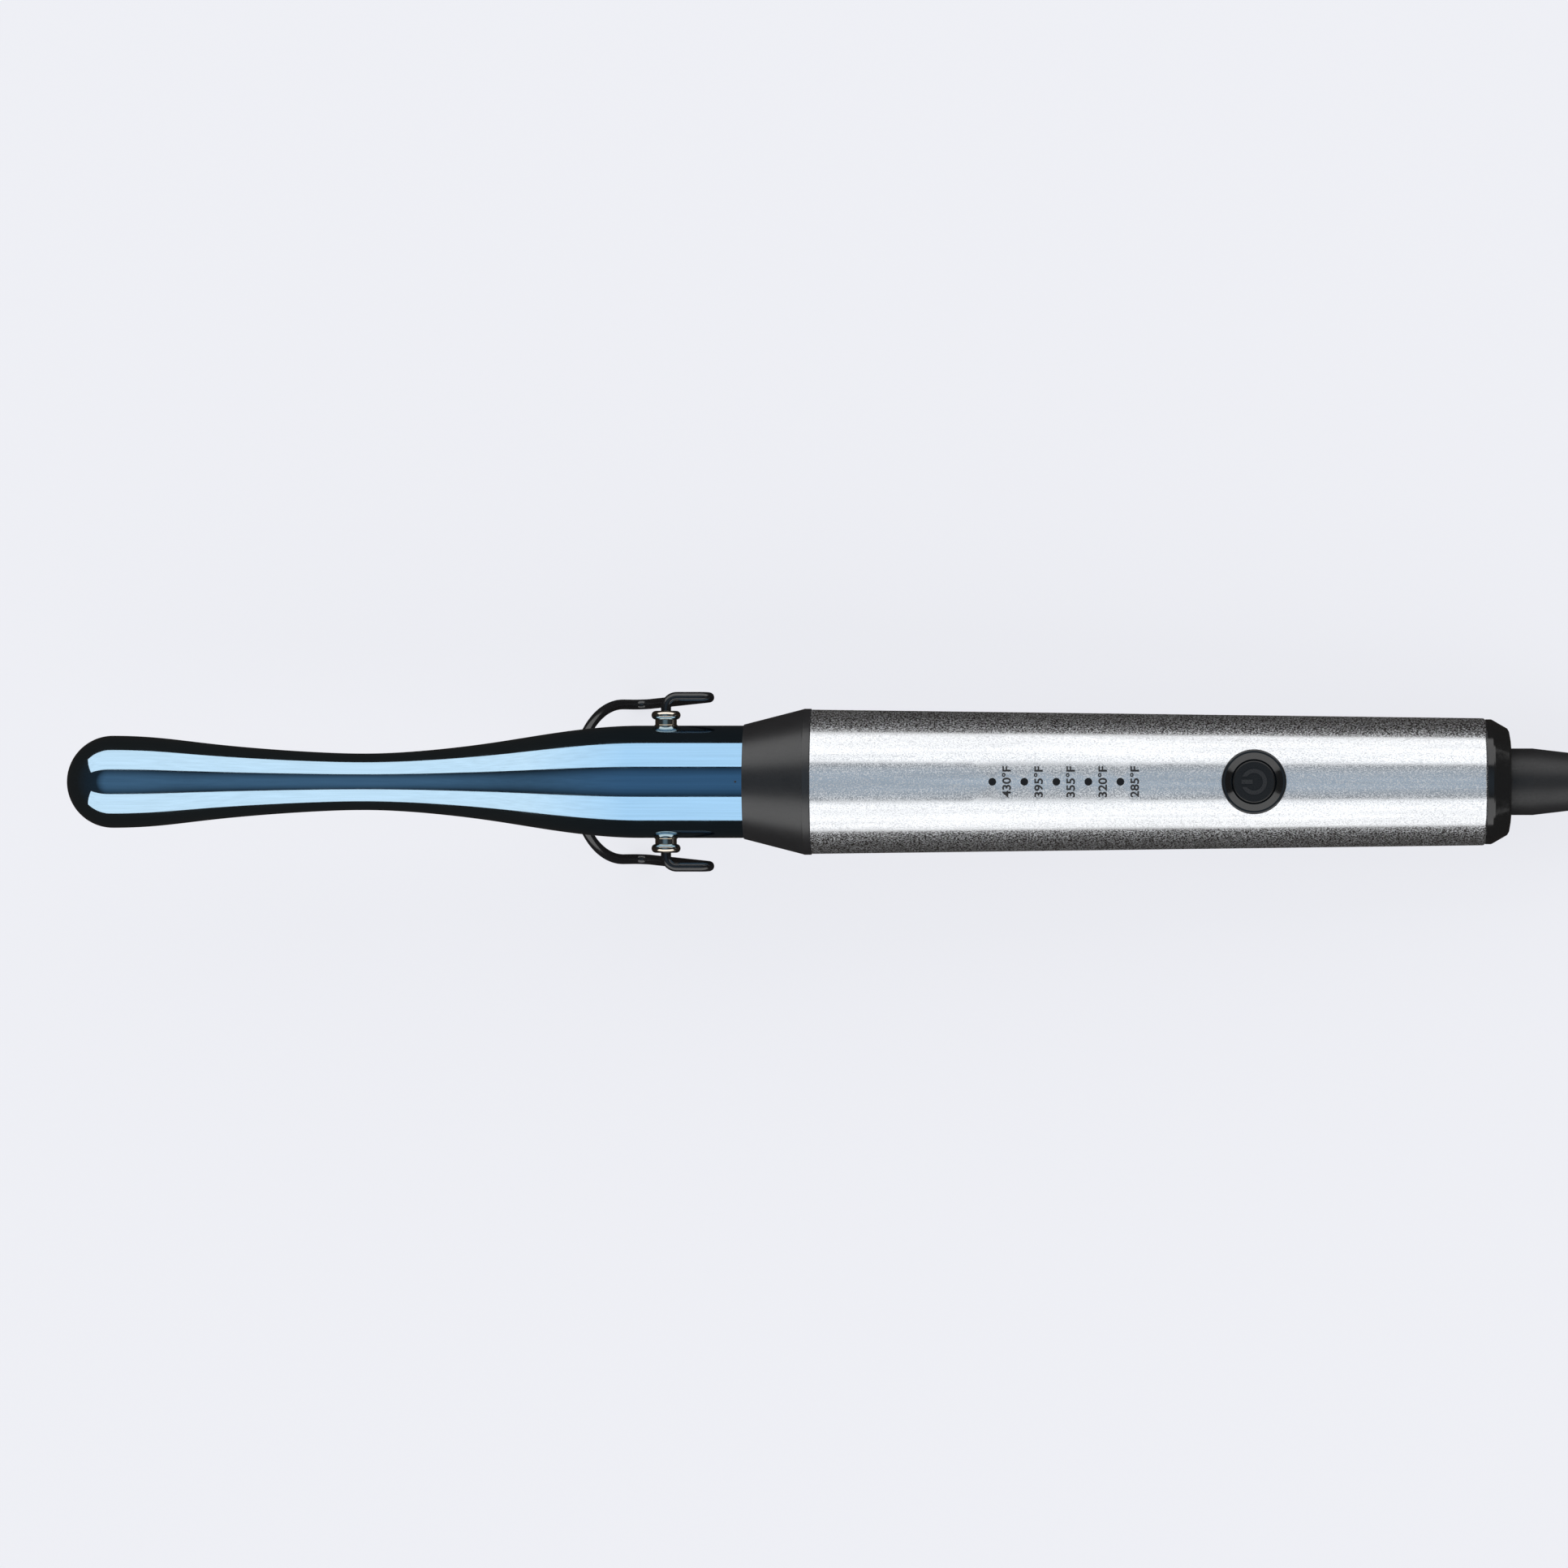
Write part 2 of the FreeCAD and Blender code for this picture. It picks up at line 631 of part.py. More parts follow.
sleeve_edges = [
    Vector(SLEEVE_FRONT, SLEEVE_FRONT_R - SLEEVE_WALL, 0),
    Vector(SLEEVE_FRONT, SLEEVE_FRONT_R - 0.2, 0),
    Vector(SLEEVE_FRONT + 0.2, SLEEVE_FRONT_R, 0),
    Vector(REST_EDGE_X, SLEEVE_REAR_R, 0),
    Vector(SLEEVE_REAR, REST_EDGE_R, 0),
    Vector(SLEEVE_REAR, SLEEVE_REAR_R - SLEEVE_WALL, 0),
]
edge_diagonal = SLEEVE_EDGE * math.sqrt(0.5)
edge_middle = Vector(REST_EDGE_X + edge_diagonal, REST_EDGE_R + edge_diagonal, 0)
sleeve_profile = Part.Wire([
    Part.makeLine(sleeve_edges[0], sleeve_edges[1]),
    Part.makeLine(sleeve_edges[1], sleeve_edges[2]),
    Part.makeLine(sleeve_edges[2], sleeve_edges[3]),
    Part.Arc(sleeve_edges[3], edge_middle, sleeve_edges[4]).toShape(),
    Part.makeLine(sleeve_edges[4], sleeve_edges[5]),
    Part.makeLine(sleeve_edges[5], sleeve_edges[0]),
])
sleeve_solid = Part.Face(sleeve_profile).revolve(CENTRE, X_AXIS, 360)
handle_sleeve = sleeve_solid.cut(window_bores).cut(up_bore(BUTTON_X, BEZEL_SKIRT_R + 0.03))
save_on_iron("handle_sleeve", handle_sleeve)


def chassis_tube():
    front_r = sleeve_radius(CHASSIS_FRONT) - SLEEVE_WALL - 0.1
    rear_r = sleeve_radius(CHASSIS_REAR) - SLEEVE_WALL - 0.1
    outer = lathe([(CHASSIS_FRONT, 0), (CHASSIS_FRONT, front_r), (CHASSIS_REAR, rear_r), (CHASSIS_REAR, 0)])
    hollow = lathe([
        (CHASSIS_FRONT - 1, 0),
        (CHASSIS_FRONT - 1, front_r - CHASSIS_WALL),
        (CHASSIS_REAR + 1, rear_r - CHASSIS_WALL),
        (CHASSIS_REAR + 1, 0),
    ])
    return outer, outer.cut(hollow)


chassis_outer, chassis_wall = chassis_tube()
lower_bosses = []
upper_bosses = []
chassis_screw_list = []
chassis_holes = []
for x in CHASSIS_SCREWS_X:
    lower_bosses.append(Part.makeCylinder(BOSS_R, FAR, Vector(x, 0, -FAR), Z_AXIS))
    upper_bosses.append(Part.makeCylinder(BOSS_R, FAR, Vector(x, 0, 0), Z_AXIS))
    foot = Vector(x, 0, CHASSIS_SCREW_FOOT)
    seat = Vector(x, 0, CHASSIS_SCREW_SEAT)
    shank = Part.makeCylinder(CHASSIS_SCREW_R, CHASSIS_SCREW_SEAT - CHASSIS_SCREW_FOOT, foot, Z_AXIS)
    head = Part.makeCylinder(CHASSIS_SCREW_HEAD_R, CHASSIS_SCREW_HEAD, seat, Z_AXIS)
    cross_z = CHASSIS_SCREW_SEAT + 0.9
    cross = block(x, 0, cross_z, 2.6, 0.5, 1.0).fuse(block(x, 0, cross_z, 0.5, 2.6, 1.0))
    chassis_screw_list.append(shank.fuse(head).removeSplitter().cut(cross))
    chassis_holes.append(shank)
    chassis_holes.append(Part.makeCylinder(CHASSIS_SCREW_HEAD_R, FAR, seat, Z_AXIS))
save_on_iron("chassis_screws", group(chassis_screw_list))

post_bosses = []
board_screw_list = []
for x in BOARD_POSTS_X:
    foot = Vector(x, 0, BOARD_SCREW_FOOT)
    post_foot = Vector(x, 0, BOARD_UNDERSIDE - FAR)
    post_bosses.append(Part.makeCylinder(BOARD_POST_R, FAR, post_foot, Z_AXIS))
    shank = Part.makeCylinder(BOARD_SCREW_R, BOARD_TOP - BOARD_SCREW_FOOT, foot, Z_AXIS)
    head = Part.makeCylinder(BOARD_SCREW_HEAD_R, BOARD_SCREW_HEAD, Vector(x, 0, BOARD_TOP), Z_AXIS)
    slot = block(x, 0, BOARD_TOP + 0.8, 3.0, 0.5, 1.0)
    board_screw_list.append(shank.fuse(head).removeSplitter().cut(slot))
board_screws = group(board_screw_list)
save_on_iron("board_screws", board_screws)

lower_wall = chassis_wall.common(lower_half_space)
lower_inside = [boss.common(chassis_outer) for boss in lower_bosses]
posts_inside = [post.common(chassis_outer) for post in post_bosses]
chassis_lower = joined([lower_wall] + lower_inside + posts_inside)
chassis_lower = chassis_lower.cut(group(chassis_holes)).cut(board_screws)
save_on_iron("chassis_lower", chassis_lower)

upper_wall = chassis_wall.common(upper_half_space)
upper_inside = [boss.common(chassis_outer) for boss in upper_bosses]
chassis_upper = joined([upper_wall] + upper_inside).cut(group(chassis_holes))
chassis_upper = chassis_upper.cut(window_bores).cut(up_bore(BUTTON_X, BEZEL_SKIRT_R + 0.1))
save_on_iron("chassis_upper", chassis_upper)


# ---- electronics ----
board_middle = (BOARD_FRONT + BOARD_REAR) / 2
board = block(
    board_middle, 0, BOARD_UNDERSIDE,
    BOARD_REAR - BOARD_FRONT, 2 * BOARD_HALF_WIDTH, BOARD_THICKNESS,
)
save_on_iron("control_board", board.cut(board_screws))


def chip(x, y, length, width, height, pins):
    """A gull-wing chip on the board's upper face."""
    body = block(x, y, BOARD_TOP + 0.1, length, width, height)
    pitch = length / pins
    legs = []
    for step in range(pins):
        leg_x = x - length / 2 + pitch * (step + 0.5)
        for side in (-1, 1):
            legs.append(block(leg_x, y + side * (width / 2 + 0.5), BOARD_TOP, 0.4, 1.2, 0.8))
    return joined([body] + legs)


save_on_iron("microcontroller", chip(CHIP_X, 0, 10.0, 3.9, 1.5, 8))

triac_tab = block(TRIAC_TAB_X, 0, BOARD_UNDERSIDE - 1.3, 6.5, 10.0, 1.3)
triac_body = block(TRIAC_X, 0, BOARD_UNDERSIDE - 4.4, 9.0, 10.0, 4.4)
save_on_iron("triac", joined([triac_tab, triac_body]))

capacitor = block(CAPACITOR_X, 0, BOARD_UNDERSIDE - 11.0, 13.0, 6.0, 11.0)
save_on_iron("capacitor", capacitor.makeFillet(0.8, capacitor.Edges))



def lengthwise(front, length, y, z, radius):
    """A small round part that lies along the board."""
    return rod(Vector(front, y, z), Vector(front + length, y, z), radius)


input_fuse = lengthwise(INPUT_FUSE_FRONT, INPUT_FUSE_LENGTH, PARTS_Y, INPUT_FUSE_Z, INPUT_FUSE_R)
save_on_iron("input_fuse", input_fuse)

wire_front = RESISTOR_FRONT - RESISTOR_WIRE_REACH
wire_length = RESISTOR_LENGTH + 2 * RESISTOR_WIRE_REACH
resistor_wire = lengthwise(wire_front, wire_length, -PARTS_Y, RESISTOR_Z, RESISTOR_WIRE_R)
resistor = lengthwise(RESISTOR_FRONT, RESISTOR_LENGTH, -PARTS_Y, RESISTOR_Z, RESISTOR_R)
save_on_iron("dropping_resistor", joined([resistor, resistor_wire]))

led_list = [block(x, 0, BOARD_TOP, LED_LENGTH, LED_WIDTH, LED_HEIGHT) for x in window_places]
save_on_iron("indicator_leds", group(led_list))

light_bar_middle = (window_places[0] + window_places[-1]) / 2
light_bar = block(light_bar_middle, 0, LIGHT_BAR_Z, 33.0, 2.6, 1.0)
light_rods = []
for x in window_places:
    height = sleeve_radius(x) - 0.03 - LIGHT_ROD_FOOT
    light_rods.append(Part.makeCylinder(WINDOW_R, height, Vector(x, 0, LIGHT_ROD_FOOT), Z_AXIS))
save_on_iron("light_pipes", joined([light_bar] + light_rods))


# ---- power button ----
def turned_at_button(outline):
    """Turn a closed outline of (radius, height) points about the button's own axis."""
    points = [Vector(radius, 0, height) for radius, height in outline]
    profile = Part.makePolygon(points + [points[0]])
    solid = Part.Face(profile).revolve(CENTRE, Z_AXIS, 360)
    solid.translate(Vector(BUTTON_X, 0, 0))
    return solid


sleeve_outside = lathe([
    (SLEEVE_FRONT, 0),
    (SLEEVE_FRONT, sleeve_radius(SLEEVE_FRONT)),
    (SLEEVE_REAR, sleeve_radius(SLEEVE_REAR)),
    (SLEEVE_REAR, 0),
])
bezel_flange = turned_at_button([
    (BEZEL_BORE_R, 12.0),
    (BEZEL_R, 12.0),
    (BEZEL_R, BEZEL_TOP - 0.35),
    (BEZEL_R - 0.1, BEZEL_TOP - 0.1),
    (BEZEL_R - 0.35, BEZEL_TOP),
    (BEZEL_R - 0.75, BEZEL_TOP),
    (BEZEL_BORE_R, BUTTON_TOP - 0.3),
]).cut(sleeve_outside)
bezel_skirt = turned_at_button([
    (BEZEL_BORE_R, 12.1),
    (BEZEL_SKIRT_R, 12.1),
    (BEZEL_SKIRT_R, 15.1),
    (BEZEL_BORE_R, 15.0),
])
save_on_iron("button_bezel", joined([bezel_flange, bezel_skirt]))

button_cap = turned_at_button([
    (0, BUTTON_STEM_FOOT),
    (BUTTON_STEM_R, BUTTON_STEM_FOOT),
    (BUTTON_STEM_R, BUTTON_LIP_FOOT),
    (BUTTON_LIP_R, BUTTON_LIP_FOOT),
    (BUTTON_LIP_R, BUTTON_LIP_TOP),
    (BUTTON_R, BUTTON_LIP_TOP),
    (BUTTON_R, BUTTON_TOP - 0.3),
    (BUTTON_R - 0.08, BUTTON_TOP - 0.1),
    (BUTTON_R - 0.3, BUTTON_TOP),
    (0, BUTTON_TOP),
])
symbol_ring = turned_at_button([
    (SYMBOL_INNER_R, BUTTON_TOP - 0.1),
    (SYMBOL_OUTER_R, BUTTON_TOP - 0.1),
    (SYMBOL_OUTER_R, BUTTON_TOP + SYMBOL_HEIGHT),
    (SYMBOL_INNER_R, BUTTON_TOP + SYMBOL_HEIGHT),
])
symbol_gap = block(BUTTON_X - 2.5, 0, BUTTON_TOP - 1, 2.6, 2.3, 2)
symbol_bar = block(BUTTON_X - 1.55, 0, BUTTON_TOP - 0.1, 2.5, 1.0, SYMBOL_HEIGHT + 0.1)
power_symbol = [symbol_ring.cut(symbol_gap), symbol_bar]
save_on_iron("power_button", joined([button_cap] + power_symbol))

switch_body = block(BUTTON_X, 0, BOARD_TOP, SWITCH_WIDTH, SWITCH_WIDTH, SWITCH_HEIGHT)
plunger_well = Part.makeCylinder(PLUNGER_R + 0.1, 4.0, Vector(BUTTON_X, 0, BOARD_TOP + 1.9), Z_AXIS)
save_on_iron("switch_body", switch_body.cut(plunger_well))
plunger_foot = Vector(BUTTON_X, 0, BUTTON_STEM_FOOT - PLUNGER_LENGTH)
plunger = Part.makeCylinder(PLUNGER_R, PLUNGER_LENGTH, plunger_foot, Z_AXIS)
save_on_iron("switch_plunger", plunger)


# ---- end cap and swivel ----
end_cap = lathe([
    (CAP_SPIGOT_FRONT, CAP_SPIGOT_BORE_R),
    (CAP_SPIGOT_FRONT, CAP_SPIGOT_R),
    (SLEEVE_REAR, CAP_SPIGOT_R),
    (SLEEVE_REAR, CAP_BAND_R - 0.15),
    (SLEEVE_REAR + 0.15, CAP_BAND_R),
    (322.0, CAP_BAND_R),
    (322.4, CAP_BAND_R - 0.2),
    (CAP_CONE_REAR, CAP_CONE_R),
    (CAP_CONE_REAR + 0.35, CAP_CONE_R - 0.6),
    (326.2, 10.0),
    (CAP_REAR, CAP_MOUTH_R + 0.1),
    (CAP_REAR - 0.1, CAP_MOUTH_R),
    (CAP_WALL_REAR, CAP_MOUTH_R),
    (CAP_WALL_REAR, BEARING_R),
    (SLEEVE_REAR, BEARING_R),
    (SLEEVE_REAR, CAP_SPIGOT_BORE_R),
])
save_on_iron("end_cap", end_cap)

rotor = lathe([
    (ROTOR_FRONT, CORD_R + 0.3),
    (ROTOR_FRONT, ROTOR_R),
    (ROTOR_GROOVE_X, ROTOR_R),
    (ROTOR_GROOVE_X, ROTOR_GROOVE_R),
    (ROTOR_GROOVE_X + ROTOR_GROOVE_WIDTH, ROTOR_GROOVE_R),
    (ROTOR_GROOVE_X + ROTOR_GROOVE_WIDTH, ROTOR_R),
    (CAP_WALL_REAR + 0.2, ROTOR_R),
    (CAP_WALL_REAR + 0.2, ROTOR_HEAD_R),
    (BOOT_FRONT, ROTOR_HEAD_R),
    (BOOT_FRONT, CORD_R),
    (CORD_TAIL_FRONT, CORD_R),
    (CORD_TAIL_FRONT, CORD_R + 0.3),
])
save_on_iron("swivel_rotor", rotor)

circlip_middle = ROTOR_GROOVE_X + ROTOR_GROOVE_WIDTH / 2
circlip = ring(circlip_middle - 0.35, circlip_middle + 0.35, ROTOR_GROOVE_R, CIRCLIP_R)
save_on_iron("swivel_circlip", circlip.cut(block(circlip_middle, 0, -7.0, 2, 2.6, 5)))

slip_rings = []
brush_list = []
for side, x in zip((1, -1), SLIP_RINGS_X):
    slip_rings.append(ring(x, x + SLIP_RING_WIDTH, ROTOR_R, SLIP_RING_R))
    middle = x + SLIP_RING_WIDTH / 2
    brush = Part.makeBox(2.2, 4.6, 2.4, Vector(middle - 1.1, SLIP_RING_R + 0.15, -1.2))
    brush_list.append(brush if side > 0 else mirrored(brush))
slip_ring_group = group(slip_rings)
brushes = group(brush_list)
save_on_iron("slip_rings", slip_ring_group)
save_on_iron("contact_brushes", brushes)
brush_holder = ring(HOLDER_FRONT, HOLDER_REAR, HOLDER_BORE_R, HOLDER_R).cut(brushes)
save_on_iron("brush_holder", brush_holder)

mains_leads = []
for side in (-1, 1):
    mains_route = [
        Vector(BOARD_REAR + FACE_GAP, side * 6.0, LEAD_HEIGHT),
        Vector(284.5, side * 6.0, LEAD_HEIGHT),
        Vector(296.5, side * 9.6, 0.0),
        Vector(HOLDER_FRONT - FACE_GAP, side * 9.6, 0.0),
    ]
    mains_leads.append(bent_wire(mains_route, LEAD_R, [6.0, 6.0]))
save_on_iron("mains_leads", group(mains_leads))

boot_outline = [
    (BOOT_FRONT, CORD_R),
    (BOOT_FRONT, BOOT_R - 0.25),
    (BOOT_FRONT + 0.25, BOOT_R),
    (331.3, BOOT_R),
    (BOOT_MID_X, BOOT_MID_R),
]
boot_slope = (BOOT_MID_R - BOOT_REAR_R) / (BOOT_REAR - BOOT_MID_X)
for step in range(BOOT_GROOVES):
    groove_x = BOOT_MID_X + BOOT_GROOVE_START + BOOT_GROOVE_PITCH * step
    skin = BOOT_MID_R - boot_slope * (groove_x - BOOT_MID_X)
    boot_outline += [
        (groove_x, skin),
        (groove_x + 0.3, skin - BOOT_GROOVE_DEPTH),
        (groove_x + 1.1, skin - BOOT_GROOVE_DEPTH - 0.8 * boot_slope),
        (groove_x + 1.4, skin - 1.4 * boot_slope),
    ]
boot_outline += [(BOOT_REAR - 0.5, BOOT_REAR_R), (BOOT_REAR, BOOT_REAR_R - 0.5), (BOOT_REAR, CORD_R)]
save_on_iron("cord_boot", lathe(boot_outline))
save_on_iron("cord_tail", rod(Vector(CORD_TAIL_FRONT, 0, 0), Vector(BOOT_REAR, 0, 0), CORD_R))


# ---- cord on the table ----
def cord_run(name, route):
    """A plain tube of the cord along its route, with the arcs' radii printed."""
    points = [Vector(*place) for place in route]
    radii = largest_bends(points)
    path = bent_path(points, radii)
    tube = bent_wire(points, CORD_R, radii)
    whole = math.pi * CORD_R ** 2 * path.Length
    print(name, "length", round(path.Length, 1), "radii", [round(radius) for radius in radii])
    print(name, "volume over section times length", round(tube.Volume / whole, 4))
    save(name, tube)
    return tube


def hank_outline(fold_r, waist_half):
    """A folded bundle from above: two round folds and a waist drawn in by the tie."""
    hollow_r = (HANK_FOLD_X ** 2 + waist_half ** 2 - fold_r ** 2) / (2 * (fold_r - waist_half))
    span = math.hypot(HANK_FOLD_X, waist_half + hollow_r)
    touch_x = HANK_FOLD_X - HANK_FOLD_X * fold_r / span
    touch_y = (waist_half + hollow_r) * fold_r / span
    edges = []
    for side in (1, -1):
        edges.append(Part.Arc(
            Vector(side * touch_x, -side * touch_y, 0),
            Vector(side * (HANK_FOLD_X + fold_r), 0, 0),
            Vector(side * touch_x, side * touch_y, 0),
        ).toShape())
        edges.append(Part.Arc(
            Vector(side * touch_x, side * touch_y, 0),
            Vector(0, side * waist_half, 0),
            Vector(-side * touch_x, side * touch_y, 0),
        ).toShape())
    return Part.Wire(edges)


def tie_form(growth):
    """The strap round the waist, as a block that the strands pass through."""
    half = HANK_WAIST_HALF + 0.4 + growth
    return block(0, 0, TIE_THICKNESS - growth, 2 * TIE_HALF_WIDTH, 2 * half, HANK_HEIGHT + 2 * growth)


hank = Part.Face(hank_outline(HANK_FOLD_R, HANK_WAIST_HALF)).extrude(Vector(0, 0, HANK_HEIGHT))
hank_eyes = [
    Part.makeCylinder(HANK_EYE_R, HANK_HEIGHT, Vector(side * HANK_FOLD_X, 0, 0), Z_AXIS)
    for side in (1, -1)
]
strap_outside = tie_form(TIE_THICKNESS)
strap_inside = tie_form(0).fuse(block(0, 0, TIE_THICKNESS, 2 * TIE_HALF_WIDTH + 2, 12.6, 24.2))
strap_bridge = block(0, 0, HANK_HEIGHT, 2 * TIE_HALF_WIDTH, 14.4, 8.0)
hank_tie = strap_outside.fuse(strap_bridge).cut(strap_inside)
hank = hank.cut(group(hank_eyes)).cut(hank_tie)
for piece in (hank, hank_tie):
    piece.translate(Vector(HANK_X, 0, 0))
save("cord_hank", hank)
save("hank_tie", hank_tie)

cord_run("cord_lead", LEAD_ROUTE)
cord_run("cord_plug_lead", PLUG_ROUTE)


# ---- plug ----
plug_axis_height = HANK_HEIGHT + PLUG_THICKNESS / 2
plug_body_x = PLUG_TAIL_X + PLUG_RELIEF_LENGTH
plug_face_x = plug_body_x + PLUG_LENGTH
plug_block = Part.makeBox(
    PLUG_LENGTH, 2 * PLUG_HALF_WIDTH, PLUG_THICKNESS,
    Vector(plug_body_x, -PLUG_HALF_WIDTH, HANK_HEIGHT),
)
plug_block = plug_block.makeFillet(PLUG_EDGE_ROUND, [
    edge for edge in plug_block.Edges
    if abs(edge.BoundBox.XMax - plug_face_x) > 0.1 or edge.BoundBox.XLength > 1
])
relief_foot = Vector(PLUG_TAIL_X, 0, plug_axis_height)
relief = Part.makeCone(RELIEF_TIP_R, RELIEF_ROOT_R, PLUG_RELIEF_LENGTH + 2, relief_foot, X_AXIS)
relief_bore = Part.makeCylinder(CORD_R, 0.5, Vector(PLUG_TAIL_X - 0.5, 0, plug_axis_height), X_AXIS)
blades = []
for side in (-1, 1):
    blades.append(block(
        plug_face_x + (BLADE_LENGTH - BLADE_ROOT) / 2,
        side * BLADE_SPACING / 2,
        plug_axis_height - BLADE_WIDTH / 2,
        BLADE_LENGTH + BLADE_ROOT, BLADE_THICKNESS, BLADE_WIDTH,
    ))
blade_group = group(blades)
save("plug_body", joined([plug_block, relief]).cut(blade_group).cut(relief_bore))
save("plug_blades", blade_group)


# ---- what a reader may want to know ----
placed_stand = stand.transformed(ON_TABLE.toMatrix(), True)
placed_sleeve = handle_sleeve.transformed(ON_TABLE.toMatrix(), True)
boot_end = ON_TABLE.multVec(Vector(BOOT_REAR, 0, 0))
hinge_place = ON_TABLE.multVec(Vector(HINGE_X, 0, 0))
print("lowest point of the stand", round(placed_stand.optimalBoundingBox().ZMin, 3))
print("lowest point of the sleeve", round(placed_sleeve.optimalBoundingBox().ZMin, 3))
print("boot's end", boot_end)
print("stand hinge", hinge_place)
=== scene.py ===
# %% [markdown]
# # A curling iron on a pale table
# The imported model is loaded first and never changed. It is the frame that every finish and
# every soft piece below is fitted to: all places come from its joints and boxes, in metres.

# %% Load the frame
import json
import math

import bmesh
import bpy
from mathutils import Matrix, Vector

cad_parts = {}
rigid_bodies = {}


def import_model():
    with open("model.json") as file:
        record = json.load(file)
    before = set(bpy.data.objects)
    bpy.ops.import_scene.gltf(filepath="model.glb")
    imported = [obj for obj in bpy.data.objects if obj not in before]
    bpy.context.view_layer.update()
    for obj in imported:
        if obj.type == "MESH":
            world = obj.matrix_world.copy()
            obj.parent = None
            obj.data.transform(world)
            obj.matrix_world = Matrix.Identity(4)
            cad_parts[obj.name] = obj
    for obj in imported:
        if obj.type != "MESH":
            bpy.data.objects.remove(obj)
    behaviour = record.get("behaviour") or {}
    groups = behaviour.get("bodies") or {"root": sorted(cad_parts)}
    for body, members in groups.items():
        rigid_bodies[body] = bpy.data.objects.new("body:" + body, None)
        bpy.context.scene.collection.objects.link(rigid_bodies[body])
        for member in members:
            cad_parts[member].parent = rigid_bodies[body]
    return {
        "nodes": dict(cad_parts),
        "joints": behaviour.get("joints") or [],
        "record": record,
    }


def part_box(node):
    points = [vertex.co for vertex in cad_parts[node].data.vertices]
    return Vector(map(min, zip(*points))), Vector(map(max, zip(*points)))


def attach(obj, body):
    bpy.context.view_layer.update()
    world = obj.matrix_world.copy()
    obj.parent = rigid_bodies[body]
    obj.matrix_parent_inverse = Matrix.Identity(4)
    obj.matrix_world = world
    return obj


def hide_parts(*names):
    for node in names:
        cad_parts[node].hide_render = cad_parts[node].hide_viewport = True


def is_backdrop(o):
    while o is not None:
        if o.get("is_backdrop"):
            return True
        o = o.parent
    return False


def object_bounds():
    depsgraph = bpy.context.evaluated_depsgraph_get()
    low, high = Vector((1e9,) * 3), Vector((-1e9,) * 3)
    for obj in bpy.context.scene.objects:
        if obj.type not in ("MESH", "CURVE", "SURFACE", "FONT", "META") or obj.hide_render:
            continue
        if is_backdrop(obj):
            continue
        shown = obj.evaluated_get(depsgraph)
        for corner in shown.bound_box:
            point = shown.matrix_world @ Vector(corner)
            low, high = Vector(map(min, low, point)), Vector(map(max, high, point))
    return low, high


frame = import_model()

cad_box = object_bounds()
print("CAD box", [round(v, 4) for corner in cad_box for v in corner])

# %% [markdown]
# The iron lies tilted: its tip is up on the wire stand and its handle's rear edge is on the
# table. It is easiest to think along the iron itself, so `on_iron` takes a distance from the
# tip, a distance across and a height above the iron's own axis, and gives the place in the
# frame. The swivel joint gives the axis and the stand's hinge gives a fixed point on it.

# %% Along the iron
joints = {joint["name"]: joint for joint in frame["joints"]}
MM = 0.001
HINGE_FROM_TIP = 136.1 * MM
iron_axis = Vector(joints["cord_swivel"]["axis"]).normalized()
across = Vector((0, 1, 0))
button_side = iron_axis.cross(across)
hinge = Vector(joints["stand_swing"]["pos_m"])


def on_iron(from_tip, sideways=0.0, above=0.0):
    along = iron_axis * (from_tip - HINGE_FROM_TIP)
    return hinge + along + across * sideways + button_side * above


iron_turn = Matrix((iron_axis, across, button_side)).transposed()
print("tilt of the iron", round(math.degrees(math.asin(-iron_axis.z)), 2), "degrees")

# %% [markdown]
# ## Camera
# A long lens looks straight down on the button side from 1.64 m, square to the iron. It
# stands over the handle and is turned a little towards the tip, which frames the whole iron
# without any lens shift. Depth of field stays off, so that all views are sharp.

# %% Camera
CAMERA_HEIGHT = 1.64
CAMERA_FROM_TIP = 235.6 * MM
AIM_FROM_TIP = 162.8 * MM
AIM_SIDEWAYS = -0.5 * MM
VIEW_WIDTH = 354.3 * MM

camera_data = bpy.data.cameras.new("camera")
camera = bpy.data.objects.new("camera", camera_data)
bpy.context.scene.collection.objects.link(camera)
camera.location = on_iron(CAMERA_FROM_TIP, AIM_SIDEWAYS, CAMERA_HEIGHT)
sight = on_iron(AIM_FROM_TIP, AIM_SIDEWAYS) - camera.location
camera_data.sensor_width = 36.0
camera_data.lens = camera_data.sensor_width * sight.length / VIEW_WIDTH
camera_data.clip_start = 0.05
camera_data.clip_end = 20.0
forward = sight.normalized()
right = forward.cross(across).normalized()
camera.rotation_euler = Matrix((right, across, -forward)).transposed().to_euler()
bpy.context.scene.camera = camera
print("lens", round(camera_data.lens, 1), "mm")
